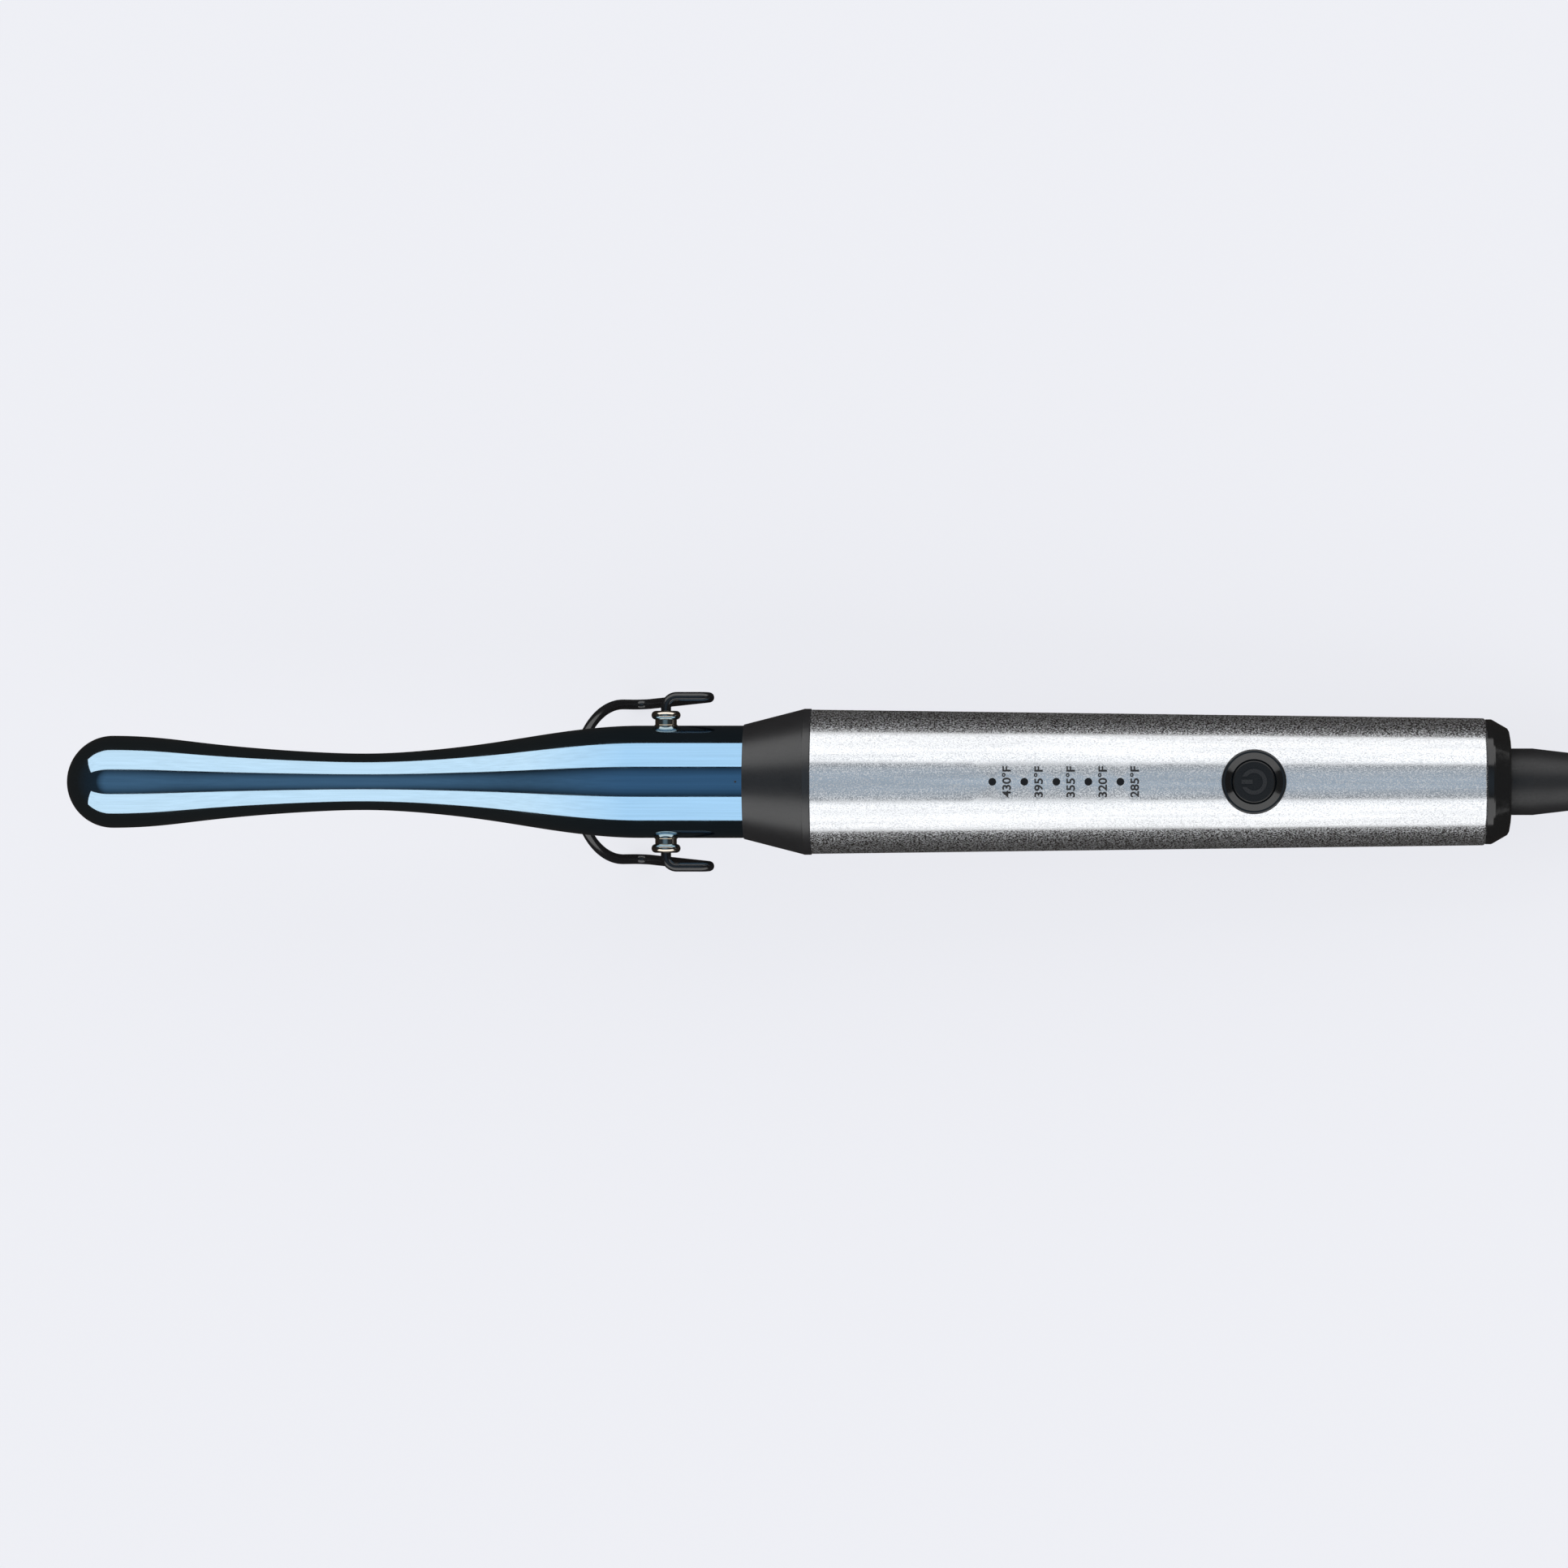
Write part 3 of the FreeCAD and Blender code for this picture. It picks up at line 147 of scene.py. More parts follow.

# %% [markdown]
# ## Cord
# The cord is one spline from the boot to the plug: a stretch that comes down to the table,
# six turns of a tied hank, and a last stretch over the top of the hank to the plug. The
# free stretches are listed points. The hank's turns are worked out: each turn is two
# round folds and two long hollow curves that the tie draws in at the waist.

# %% The listed stretches
CORD_D = 6.0 * MM
LEAD_ROUTE = [
    (180.32, 0.0, 10.16),
    (190.32, 0.0, 9.184),
    (201.0, -0.8, 7.2),
    (213.0, -3.4, 4.8),
    (226.0, -8.2, 3.3),
    (239.0, -14.6, 3.0),
    (250.0, -20.0, 3.0),
    (261.0, -23.4, 3.0),
]
PLUG_ROUTE = [
    (259.0, -20.3, 21.1),
    (269.5, -18.8, 21.1),
    (282.0, -15.2, 21.1),
    (296.0, -9.8, 21.1),
    (310.0, -5.0, 21.1),
    (323.0, -1.6, 22.2),
    (336.0, 0.0, 24.5),
]
lead_points = [Vector(place) * MM for place in LEAD_ROUTE]
plug_points = [Vector(place) * MM for place in PLUG_ROUTE]
print(len(lead_points), "points to the hank,", len(plug_points), "points to the plug")

# %% [markdown]
# The strands lie in two columns and three layers, one cord thickness apart. From turn to
# turn the strand steps in, up, out, up and in again. It does that on the fold nearest the
# iron, and the last turns step first, so that no strand moves into a place still taken.

# %% The hank's turns
HANK_X = 320.0 * MM
FOLD_X = 56.0 * MM
WAIST_DRAW = 15.0 * MM
TIE_T = 0.9 * MM
OUTER, INNER = 24.0 * MM, 18.0 * MM
LAYERS = [3.0 * MM, 9.0 * MM, 15.0 * MM]
STRAND_PLACES = [
    (OUTER, LAYERS[0]),
    (INNER, LAYERS[0]),
    (INNER, LAYERS[1]),
    (OUTER, LAYERS[1]),
    (OUTER, LAYERS[2]),
    (INNER, LAYERS[2]),
    (21.0 * MM, 21.0 * MM),
]
FOLD_REACH = 120
FOLD_STEPS = 8
RUN_STEPS = 5
NEAR_FOLD_START = 60
STEP_LAG = 24
STEP_SPREAD = 85
LIFT_REACH = 14.0 * MM


def eased(share):
    share = min(max(share, 0.0), 1.0)
    return share * share * (3 - 2 * share)


def step_share(turn, angle):
    """How far a turn has stepped to the next place, at an angle round the near fold."""
    if turn == len(STRAND_PLACES) - 2:
        return 1.0
    start = NEAR_FOLD_START + STEP_LAG * (len(STRAND_PLACES) - 3 - turn)
    return eased((angle - start) / STEP_SPREAD)


def strand_place(turn, share):
    radius, height = STRAND_PLACES[turn]
    next_radius, next_height = STRAND_PLACES[turn + 1]
    return radius + (next_radius - radius) * share, height + (next_height - height) * share


def run_point(radius, height, lean, side):
    """A point on a long run: lean goes from -1 to 1, from the near fold to the far one."""
    waist = radius - WAIST_DRAW
    hollow = (FOLD_X ** 2 + waist ** 2 - radius ** 2) / (2 * WAIST_DRAW)
    reach = math.atan2(FOLD_X, waist + hollow)
    x = hollow * math.sin(lean * reach)
    y = waist + hollow - hollow * math.cos(lean * reach)
    lift = TIE_T * math.exp(-(x / LIFT_REACH) ** 2)
    return Vector((HANK_X + x, side * y, height + lift))


def hank_points():
    points = []
    turns = len(STRAND_PLACES) - 1
    for turn in range(turns):
        radius, height = STRAND_PLACES[turn]
        last = turn == turns - 1
        for step in range(RUN_STEPS + 1):
            points.append(run_point(radius, height, -1 + 2 * step / RUN_STEPS, -1))
        for step in range(1, FOLD_STEPS):
            angle = math.radians(-FOLD_REACH + 2 * FOLD_REACH * step / FOLD_STEPS)
            spot = Vector((math.cos(angle), math.sin(angle), 0)) * radius
            points.append(Vector((HANK_X + FOLD_X, 0, height)) + spot)
        for step in range(RUN_STEPS + 1):
            lean = 1 - 2 * step / RUN_STEPS
            climb = eased(-lean) if last else 0.0
            now_radius, now_height = strand_place(turn, climb)
            points.append(run_point(now_radius, now_height, lean, 1))
        fold_end = FOLD_STEPS - 2 if last else FOLD_STEPS
        for step in range(1, fold_end):
            angle = NEAR_FOLD_START + 2 * FOLD_REACH * step / FOLD_STEPS
            now_radius, now_height = strand_place(turn, step_share(turn, angle))
            turned = math.radians(angle)
            spot = Vector((math.cos(turned), math.sin(turned), 0)) * now_radius
            points.append(Vector((HANK_X - FOLD_X, 0, now_height)) + spot)
    return points


print("the hank has", len(hank_points()), "spline points in", len(STRAND_PLACES) - 1, "turns")

# %% [markdown]
# The cord could be a swept mesh, but a curve object with a round bevel is lighter and keeps
# the route editable. A quadratic NURBS line is pulled towards its points without passing
# through them, which gives the easy bends of a 6 mm rubber lead. Order and end points are set
# after the points, because a spline with too few points quietly falls back to straight runs.
# The thickness is set as each point's radius in metres, with a bevel of one: Blender adds the
# point radius to a curve's bounding box, and left at 1 it would make the box metres wide.

# %% Lay the cord
def link(obj):
    bpy.context.scene.collection.objects.link(obj)
    return obj


def smooth_cord(name, points, radius):
    """One quadratic spline, pulled towards its points, with a round section."""
    curve = bpy.data.curves.new(name, "CURVE")
    curve.dimensions = "3D"
    spline = curve.splines.new("NURBS")
    spline.points.add(len(points) - 1)
    for point, place in zip(spline.points, points):
        point.co = (*place, 1)
        point.radius = radius
    spline.order_u = 3
    spline.use_endpoint_u = True
    spline.resolution_u = 6
    curve.bevel_depth = 1.0
    curve.bevel_resolution = 6
    return link(bpy.data.objects.new(name, curve))


cord_points = lead_points + hank_points() + plug_points
mains_cord = smooth_cord("mains_cord", cord_points, CORD_D / 2)
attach(mains_cord, "iron")
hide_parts("cord_lead", "cord_hank", "cord_plug_lead")
print("cord spline has", len(cord_points), "points")


# %% [markdown]
# A cord's length is the one thing about it that never changes, so it is measured on the
# finished line: a copy with no thickness turns into a chain of short edges, added up.

def spline_length(obj):
    """The real length of a bevelled curve's middle line."""
    bare = obj.data.copy()
    bare.bevel_depth = 0
    probe = link(bpy.data.objects.new("probe", bare))
    bpy.context.view_layer.update()
    mesh = bpy.data.meshes.new_from_object(probe.evaluated_get(bpy.context.evaluated_depsgraph_get()))
    places = [v.co.copy() for v in mesh.vertices]
    bpy.data.objects.remove(probe)
    bpy.data.meshes.remove(mesh)
    return sum((b - a).length for a, b in zip(places, places[1:]))


cord_length = spline_length(mains_cord)
print("cord length", round(cord_length, 3))

# %% [markdown]
# ## Table and light
# Two long softboxes stand left and right of the iron, parallel to it. A polished round
# barrel mirrors everything round it, so the boxes show as two clean bands, and what is
# between and below them shows as dark bands. The floor and the room light reach the matt
# surfaces only: mirrored in the metal they would wash its dark edges out.

# %% Table
def plain_mesh(name, corners, faces):
    mesh = bpy.data.meshes.new(name)
    mesh.from_pydata(corners, [], faces)
    return link(bpy.data.objects.new(name, mesh))


def principled(name, colour, roughness, metallic=0.0):
    """A material with one Principled shader. Returns the material, its nodes and the shader."""
    material = bpy.data.materials.new(name)
    material.use_nodes = True
    shader = material.node_tree.nodes["Principled BSDF"]
    shader.inputs["Base Color"].default_value = (*colour, 1)
    shader.inputs["Roughness"].default_value = roughness
    shader.inputs["Metallic"].default_value = metallic
    return material, material.node_tree, shader


FLOOR_HALF = 4.0
floor = plain_mesh(
    "floor",
    [(-FLOOR_HALF, -FLOOR_HALF, 0), (FLOOR_HALF, -FLOOR_HALF, 0),
     (FLOOR_HALF, FLOOR_HALF, 0), (-FLOOR_HALF, FLOOR_HALF, 0)],
    [(0, 1, 2, 3)],
)
floor_paint, _, floor_shader = principled("floor_paint", (0.10, 0.101, 0.105), 0.9)
floor_shader.inputs["Emission Color"].default_value = (0.735, 0.742, 0.783, 1)
floor_shader.inputs["Emission Strength"].default_value = 1.0
floor.data.materials.append(floor_paint)
floor.visible_glossy = False
floor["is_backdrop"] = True
print("floor", 2 * FLOOR_HALF, "m wide")

# %% [markdown]
# A softbox is a lamp behind a large sheet of white cloth. A glowing plane could stand in for
# it, but an area light of the same size gives less noise, as the renderer aims rays at it.
# Each one faces a point on the handle, and the camera can't see it.

# %% Softboxes
BOX_DISTANCE = 0.9
BOX_ELEVATION = 31.5
BOX_HEIGHT = 0.94
BOX_LENGTH = 2.6
BOX_POWER = 1.15


def softbox(name, side, radiance):
    light = bpy.data.lights.new(name, "AREA")
    light.shape = "RECTANGLE"
    light.size = BOX_LENGTH
    light.size_y = BOX_HEIGHT
    light.energy = radiance * math.pi * BOX_LENGTH * BOX_HEIGHT
    lamp = link(bpy.data.objects.new(name, light))
    rise = math.radians(BOX_ELEVATION)
    out = across * side * math.cos(rise) + button_side * math.sin(rise)
    aim = on_iron(0.18)
    lamp.location = aim + out * BOX_DISTANCE
    facing = Matrix((iron_axis, out.cross(iron_axis), out)).transposed()
    lamp.rotation_euler = facing.to_euler()
    lamp.visible_camera = False
    return lamp


for name, side in (("softbox_left", 1), ("softbox_right", -1)):
    lamp = softbox(name, side, BOX_POWER)
    print(name, "gives", round(lamp.data.energy, 2), "W")

# %% [markdown]
# The satin handle also caught a third lamp, hung straight over it. The polished barrel didn't
# mirror that one, so it is linked to the sleeve alone: a light can be given a collection of the
# objects that it may reach, which is how a small card over one part works in a studio.

# %% Overhead strip for the sleeve
STRIP_HEIGHT = 0.8
STRIP_WIDTH = 0.84
STRIP_POWER = 0.25


def overhead_strip():
    light = bpy.data.lights.new("strip_over_sleeve", "AREA")
    light.shape = "RECTANGLE"
    light.size = BOX_LENGTH
    light.size_y = STRIP_WIDTH
    light.energy = STRIP_POWER * math.pi * BOX_LENGTH * STRIP_WIDTH
    lamp = link(bpy.data.objects.new("strip_over_sleeve", light))
    lamp.location = on_iron(0.245) + button_side * STRIP_HEIGHT
    facing = Matrix((iron_axis, button_side.cross(iron_axis), button_side)).transposed()
    lamp.rotation_euler = facing.to_euler()
    lamp.visible_camera = False
    reached = bpy.data.collections.new("lit by the strip")
    reached.objects.link(frame["nodes"]["handle_sleeve"])
    lamp.light_linking.receiver_collection = reached
    return lamp


print("strip reaches", len(overhead_strip().light_linking.receiver_collection.objects), "part")

# %% [markdown]
# What is not a softbox is the dim room. Mirror rays see a dark horizon that turns to a deep
# blue-grey overhead, and matt surfaces see an even pale light. A Light Path node tells the two
# apart, and depends only on the kind of ray, never on where the camera stands.

# %% Room light
world = bpy.data.worlds.new("room")
bpy.context.scene.world = world
world.use_nodes = True
sky = world.node_tree
for node in list(sky.nodes):
    sky.nodes.remove(node)
sky_out = sky.nodes.new("ShaderNodeOutputWorld")
matt_light = sky.nodes.new("ShaderNodeBackground")
matt_light.inputs["Color"].default_value = (0.97, 0.98, 1.0, 1)
matt_light.inputs["Strength"].default_value = 0.62
mirror_light = sky.nodes.new("ShaderNodeBackground")
mirror_light.inputs["Strength"].default_value = 1.0
direction = sky.nodes.new("ShaderNodeTexCoord")
upward = sky.nodes.new("ShaderNodeSeparateXYZ")
overhead = sky.nodes.new("ShaderNodeValToRGB")
room_tones = [
    (0.0, (0.020, 0.017, 0.015)),
    (0.86, (0.019, 0.028, 0.037)),
    (0.985, (0.092, 0.160, 0.232)),
]
overhead.color_ramp.elements.new(0.5)
for element, (height, tone) in zip(overhead.color_ramp.elements, room_tones):
    element.position = height
    element.color = (*tone, 1)
which_ray = sky.nodes.new("ShaderNodeLightPath")
choose = sky.nodes.new("ShaderNodeMixShader")
sky.links.new(direction.outputs["Generated"], upward.inputs[0])
sky.links.new(upward.outputs["Z"], overhead.inputs["Fac"])
sky.links.new(overhead.outputs["Color"], mirror_light.inputs["Color"])
sky.links.new(which_ray.outputs["Is Glossy Ray"], choose.inputs[0])
sky.links.new(matt_light.outputs[0], choose.inputs[1])
sky.links.new(mirror_light.outputs[0], choose.inputs[2])
sky.links.new(choose.outputs[0], sky_out.inputs["Surface"])
bpy.context.scene.view_settings.view_transform = "Standard"
print("room light has", len(sky.nodes), "nodes")

# %% [markdown]
# ## Plug
# The plug is one moulding: a soft strain relief with ribs, then a flat body with finger grips
# on its broad faces. It could be carved with booleans, but a loft is cleaner: rings of points
# whose outline goes from a circle to a rounded rectangle are joined end to end. The outline is
# a superellipse, where one number sets how square it is.

# %% Loft through rings
RING_POINTS = 96


def closed_mesh(name, rings):
    """Join rings of points with quads and close both ends."""
    shape = bmesh.new()
    made = [[shape.verts.new(place) for place in ring] for ring in rings]
    for near, far in zip(made, made[1:]):
        count = len(near)
        for step in range(count):
            after = (step + 1) % count
            shape.faces.new((near[step], near[after], far[after], far[step]))
    shape.faces.new(list(reversed(made[0])))
    shape.faces.new(made[-1])
    bmesh.ops.recalc_face_normals(shape, faces=shape.faces)
    mesh = bpy.data.meshes.new(name)
    shape.to_mesh(mesh)
    shape.free()
    return link(bpy.data.objects.new(name, mesh))


def superellipse(half_width, half_height, squareness):
    """Points of a ring: squareness 2 is an ellipse, larger is nearer to a rectangle."""
    ring = []
    for step in range(RING_POINTS):
        turn = 2 * math.pi * step / RING_POINTS
        y = math.copysign(abs(math.cos(turn)) ** (2 / squareness), math.cos(turn))
        z = math.copysign(abs(math.sin(turn)) ** (2 / squareness), math.sin(turn))
        ring.append((half_width * y, half_height * z))
    return ring


def smooth_faces(piece, angle=35):
    """Soft shading that breaks at real edges."""
    piece.data.set_sharp_from_angle(angle=math.radians(angle))
    for face in piece.data.polygons:
        face.use_smooth = True


print("each ring has", RING_POINTS, "points")

# %% [markdown]
# The plug is moulded on the cord in one shot of soft plastic. The ribs near the cord let it
# bend there, and the ridges on the broad faces give the fingers a hold. The rings are sized
# from the box of the plug in the model, so the piece sits exactly where the plug does.

# %% Plug body
plug_low, plug_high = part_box("plug_body")
plug_middle = (plug_low + plug_high) / 2
RELIEF_LENGTH = 22.0 * MM
RELIEF_TIP_R = 4.2 * MM
RELIEF_ROOT_R = 6.0 * MM
RIB_PITCH = 3.6 * MM
RIB_DEPTH = 0.7 * MM
GRIP_DEPTH = 0.45 * MM
GRIP_PITCH = 2.2 * MM
FACE_ROUND = 1.0 * MM


def plug_ring(travel):
    """Half width, half height and squareness at a distance from the cord's end."""
    body_half_width = plug_high.y - plug_middle.y
    body_half_height = plug_high.z - plug_middle.z
    length = plug_high.x - plug_low.x
    if travel < RELIEF_LENGTH:
        share = travel / RELIEF_LENGTH
        radius = RELIEF_TIP_R + (RELIEF_ROOT_R - RELIEF_TIP_R) * share
        groove = max(0.0, math.sin(2 * math.pi * travel / RIB_PITCH)) ** 0.5 * RIB_DEPTH
        radius -= groove * (1.0 if 0.06 < share < 0.97 else 0.0)
        return radius, radius, 2.0
    shoulder = eased((travel - RELIEF_LENGTH) / (6.0 * MM))
    half_width = RELIEF_ROOT_R + (body_half_width - RELIEF_ROOT_R) * shoulder
    half_height = RELIEF_ROOT_R + (body_half_height - RELIEF_ROOT_R) * shoulder
    from_grip = (travel - 0.74 * length) / (0.15 * length)
    waist = max(0.0, 1 - from_grip ** 2)
    half_width -= 1.1 * MM * waist
    ridges = 0.5 - 0.5 * math.cos(2 * math.pi * travel / GRIP_PITCH)
    half_height -= GRIP_DEPTH * waist * ridges
    to_face = length - travel
    if to_face < FACE_ROUND:
        pull = FACE_ROUND - math.sqrt(max(0.0, FACE_ROUND ** 2 - (FACE_ROUND - to_face) ** 2))
        half_width -= pull
        half_height -= pull
    return half_width, half_height, 2.0 + 4.0 * shoulder


def build_plug_body():
    length = plug_high.x - plug_low.x
    face_steps = [length - FACE_ROUND * (1 - step / 8) for step in range(9)]
    even = int(length / (0.3 * MM))
    travels = [length * step / even for step in range(even + 1)]
    travels = [travel for travel in travels if travel < length - FACE_ROUND] + face_steps
    rings = []
    for travel in travels:
        outline = superellipse(*plug_ring(travel))
        rings.append([(plug_low.x + travel, plug_middle.y + y, plug_middle.z + z) for y, z in outline])
    body = closed_mesh("plug_moulding", rings)
    smooth_faces(body)
    return body


plug_moulding = build_plug_body()
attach(plug_moulding, "iron")
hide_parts("plug_body")
print("plug moulding", len(plug_moulding.data.polygons), "faces")

# %% [markdown]
# The two blades are stamped from brass strip. A flat 2D curve with a round hole inside it is
# the shortest way to such a shape: the curve fills itself round the hole, its extrusion gives
# the thickness and its bevel breaks the edges. It is turned into a mesh at the end.

# %% Plug blades
BLADE_HALF_THICKNESS = 0.75 * MM
BLADE_HALF_SPACING = 6.35 * MM
BLADE_EDGE = 0.15 * MM
BLADE_HOLE_R = 1.55 * MM
BLADE_HOLE_FROM_TIP = 4.5 * MM


def as_mesh(obj, name):
    """Swap a curve or text object for a mesh object of the same shape."""
    bpy.context.view_layer.update()
    mesh = bpy.data.meshes.new_from_object(obj.evaluated_get(bpy.context.evaluated_depsgraph_get()))
    bpy.data.objects.remove(obj)
    mesh.name = name
    return link(bpy.data.objects.new(name, mesh))


def blade_outline(length, half_height):
    """Corner points of the strip, with chamfered tip corners."""
    chamfer = 1.3 * MM
    inset = BLADE_EDGE
    return [
        (inset, -half_height + inset), (length - chamfer, -half_height + inset),
        (length - inset, -half_height + chamfer), (length - inset, half_height - chamfer),
        (length - chamfer, half_height - inset), (inset, half_height - inset),
    ]


def build_blades():
    low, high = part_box("plug_blades")
    length = high.x - low.x
    curve = bpy.data.curves.new("blade", "CURVE")
    curve.dimensions = "2D"
    curve.fill_mode = "BOTH"
    edge = blade_outline(length, (high.z - low.z) / 2)
    hole_x = length - BLADE_HOLE_FROM_TIP
    circle = [math.radians(15 * step) for step in range(24)]
    hole = [(hole_x + BLADE_HOLE_R * math.cos(a), BLADE_HOLE_R * math.sin(a)) for a in circle]
    for outline in (edge, hole):
        spline = curve.splines.new("POLY")
        spline.points.add(len(outline) - 1)
        for point, (x, y) in zip(spline.points, outline):
            point.co = (x, y, 0, 1)
        spline.use_cyclic_u = True
    curve.extrude = BLADE_HALF_THICKNESS - BLADE_EDGE
    curve.bevel_depth = BLADE_EDGE
    curve.bevel_resolution = 2
    blades = as_mesh(link(bpy.data.objects.new("blade", curve)), "plug_blade_pair")
    blades.data.transform(Matrix.Rotation(math.radians(90), 4, "X"))
    blades.data.transform(Matrix.Translation((low.x, -BLADE_HALF_SPACING, (low.z + high.z) / 2)))
    twin = blades.data.copy()
    twin.transform(Matrix.Translation((0, 2 * BLADE_HALF_SPACING, 0)))
    both = bmesh.new()
    both.from_mesh(blades.data)
    both.from_mesh(twin)
    both.to_mesh(blades.data)
    both.free()
    smooth_faces(blades, 30)
    return blades


plug_blade_pair = build_blades()
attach(plug_blade_pair, "iron")
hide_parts("plug_blades")
print("blades", len(plug_blade_pair.data.polygons), "faces")

# %% [markdown]
# ## Hank tie
# A woven strap goes once round the middle of the hank and over the plug lead. It is a sheet
# that follows a closed path round the strands, with rounded corners where it turns. Solidify
# gives it its cloth thickness and a small bevel softens its edges. Its fastening isn't made.

# %% Hank tie
TIE_WIDTH = 14.0 * MM
TIE_CORNER_R = 2.6 * MM
TIE_ACROSS = 15
TIE_STEP = 1.0 * MM
CLOTH_T = 0.75 * MM
CLOTH_EDGE = 0.18 * MM
tie_low, tie_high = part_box("hank_tie")


def rounded_path(corners, radius, arc_steps=7):
    """A closed path of (y, z) points with an arc at every corner."""
    path = []
    count = len(corners)
    for index, corner in enumerate(corners):
        here = Vector(corner)
        before = Vector(corners[index - 1]) - here
        after = Vector(corners[(index + 1) % count]) - here
        half = before.angle(after) / 2
        setback = min(radius / math.tan(half), 0.48 * before.length, 0.48 * after.length)
        first = here + before.normalized() * setback
        last = here + after.normalized() * setback
        for step in range(arc_steps + 1):
            share = step / arc_steps
            path.append(first.lerp(here, share).lerp(here.lerp(last, share), share))
    return path


def evenly(path, spacing):
    """The same closed path, divided into short even steps."""
    places = []
    for start, end in zip(path, path[1:] + path[:1]):
        steps = max(1, round((end - start).length / spacing))
        places += [start.lerp(end, step / steps) for step in range(steps)]
    return places


def strap_sheet(name, path, half_width):
    """A closed band that follows the path round the hank. Its UV runs in metres."""
    shape = bmesh.new()
    uv_layer = shape.loops.layers.uv.new("weave")
    rows = []
    travel = 0.0
    for index, place in enumerate(path):
        if index:
            travel += (place - path[index - 1]).length
        row = []
        for step in range(TIE_ACROSS):
            lean = -1 + 2 * step / (TIE_ACROSS - 1)
            x = HANK_X + half_width * lean
            row.append((shape.verts.new((x, place.x, place.y)), travel, half_width * lean))
        rows.append(row)
    for near, far in zip(rows, rows[1:] + rows[:1]):
        for step in range(TIE_ACROSS - 1):
            corners = (near[step], near[step + 1], far[step + 1], far[step])
            face = shape.faces.new([corner[0] for corner in corners])
            for loop, corner in zip(face.loops, corners):
                loop[uv_layer].uv = (corner[1], corner[2])
    mesh = bpy.data.meshes.new(name)
    shape.to_mesh(mesh)
    shape.free()
    strap = link(bpy.data.objects.new(name, mesh))
    cloth = strap.modifiers.new("cloth thickness", "SOLIDIFY")
    cloth.thickness = CLOTH_T
    cloth.offset = 0
    edge = strap.modifiers.new("soft edge", "BEVEL")
    edge.width = CLOTH_EDGE
    edge.segments = 2
    edge.limit_method = "ANGLE"
    for face in mesh.polygons:
        face.use_smooth = True
    return strap


half_cloth = 0.45 * MM
side_y = tie_high.y - half_cloth
under_z = tie_low.z + half_cloth
shelf_z = 18.5 * MM
crown_z = tie_high.z - half_cloth
crown_y = 5.4 * MM
shoulder_y = crown_y + 5.5 * MM
shoulder_z = shelf_z + 0.5 * MM
tie_corners = [
    (-side_y, under_z), (side_y, under_z), (side_y, shelf_z), (shoulder_y, shoulder_z),
    (crown_y, crown_z), (-crown_y, crown_z), (-shoulder_y, shoulder_z), (-side_y, shelf_z),
]
tie_path = evenly(rounded_path(tie_corners, TIE_CORNER_R), TIE_STEP)
hank_strap = strap_sheet("hank_strap", tie_path, TIE_WIDTH / 2)
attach(hank_strap, "iron")
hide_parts("hank_tie")
print("strap goes round", len(tie_path), "steps of 1 mm")

# %% [markdown]
# ## Barrel
# The barrel is one deep-drawn titanium tube with a round nose, a slim waist and a straight
# base. Every facet of a mirror finish shows, so the CAD tube's flat facets are replaced by a
# fine lathe mesh of the same profile. The swell is a smooth cubic spline through a few radii,
# level at both ends, so it flows into the nose and the base without a visible join.

# %% Barrel profile
NOSE_R = 10.45 * MM
BASE_R = 12.7 * MM
BARREL_LENGTH = 176.0 * MM
BARREL_WALL = 0.9 * MM
SWELL = [
    (10.45, 10.45), (20.4, 10.02), (31.5, 8.78), (46.0, 7.42), (57.0, 6.72), (69.0, 6.42),
    (83.0, 7.22), (97.5, 8.97), (108.5, 10.7), (120.0, 12.17), (130.5, 12.7),
]


def spline_slopes(knots):
    """Slopes at the knots of a smooth cubic spline that is level at both ends."""
    count = len(knots)
    slopes = [0.0] * count
    for _ in range(60):
        for i in range(1, count - 1):
            before = knots[i][0] - knots[i - 1][0]
            after = knots[i + 1][0] - knots[i][0]
            rise_before = (knots[i][1] - knots[i - 1][1]) / before
            rise_after = (knots[i + 1][1] - knots[i][1]) / after
            pull = 3 * (rise_before / before + rise_after / after)
            pull -= slopes[i - 1] / before + slopes[i + 1] / after
            slopes[i] = pull / (2 / before + 2 / after)
    return slopes


def swell_radius(x, knots, slopes):
    for i in range(len(knots) - 1):
        (x0, r0), (x1, r1) = knots[i], knots[i + 1]
        if x <= x1:
            width = x1 - x0
            s = (x - x0) / width
            start = (2 * s ** 3 - 3 * s ** 2 + 1) * r0 + (s ** 3 - 2 * s ** 2 + s) * width * slopes[i]
            end = (3 * s ** 2 - 2 * s ** 3) * r1 + (s ** 3 - s ** 2) * width * slopes[i + 1]
            return start + end
    return knots[-1][1]


def barrel_profile():
    """(distance from the tip, radius) from near the tip along the outside to the rear rim."""
    knots = [(x * MM, radius * MM) for x, radius in SWELL]
    slopes = spline_slopes(knots)
    nose_steps = 40
    profile = []
    for step in range(1, nose_steps):
        turn = math.radians(90 * step / nose_steps)
        profile.append((NOSE_R - NOSE_R * math.cos(turn), NOSE_R * math.sin(turn)))
    swell_steps = 110
    for step in range(swell_steps + 1):
        x = knots[0][0] + (knots[-1][0] - knots[0][0]) * step / swell_steps
        profile.append((x, swell_radius(x, knots, slopes)))
    base_steps = 8
    for step in range(1, base_steps + 1):
        profile.append((knots[-1][0] + (BARREL_LENGTH - knots[-1][0]) * step / base_steps, BASE_R))
    return profile


print(len(barrel_profile()), "points along the barrel")

# %% [markdown]
# A lathe turns a profile about an axis. A screw modifier could do that too, but here every
# point is worked out in the iron's own directions, so the tilted tube needs no turning later.
# Outside and inside are one profile, which gives the tube a real wall and a closed surface.
# The two holes for the stand's ferrules aren't cut, so the ferrules and the stand's pins pass
# through the wall there, out of sight.

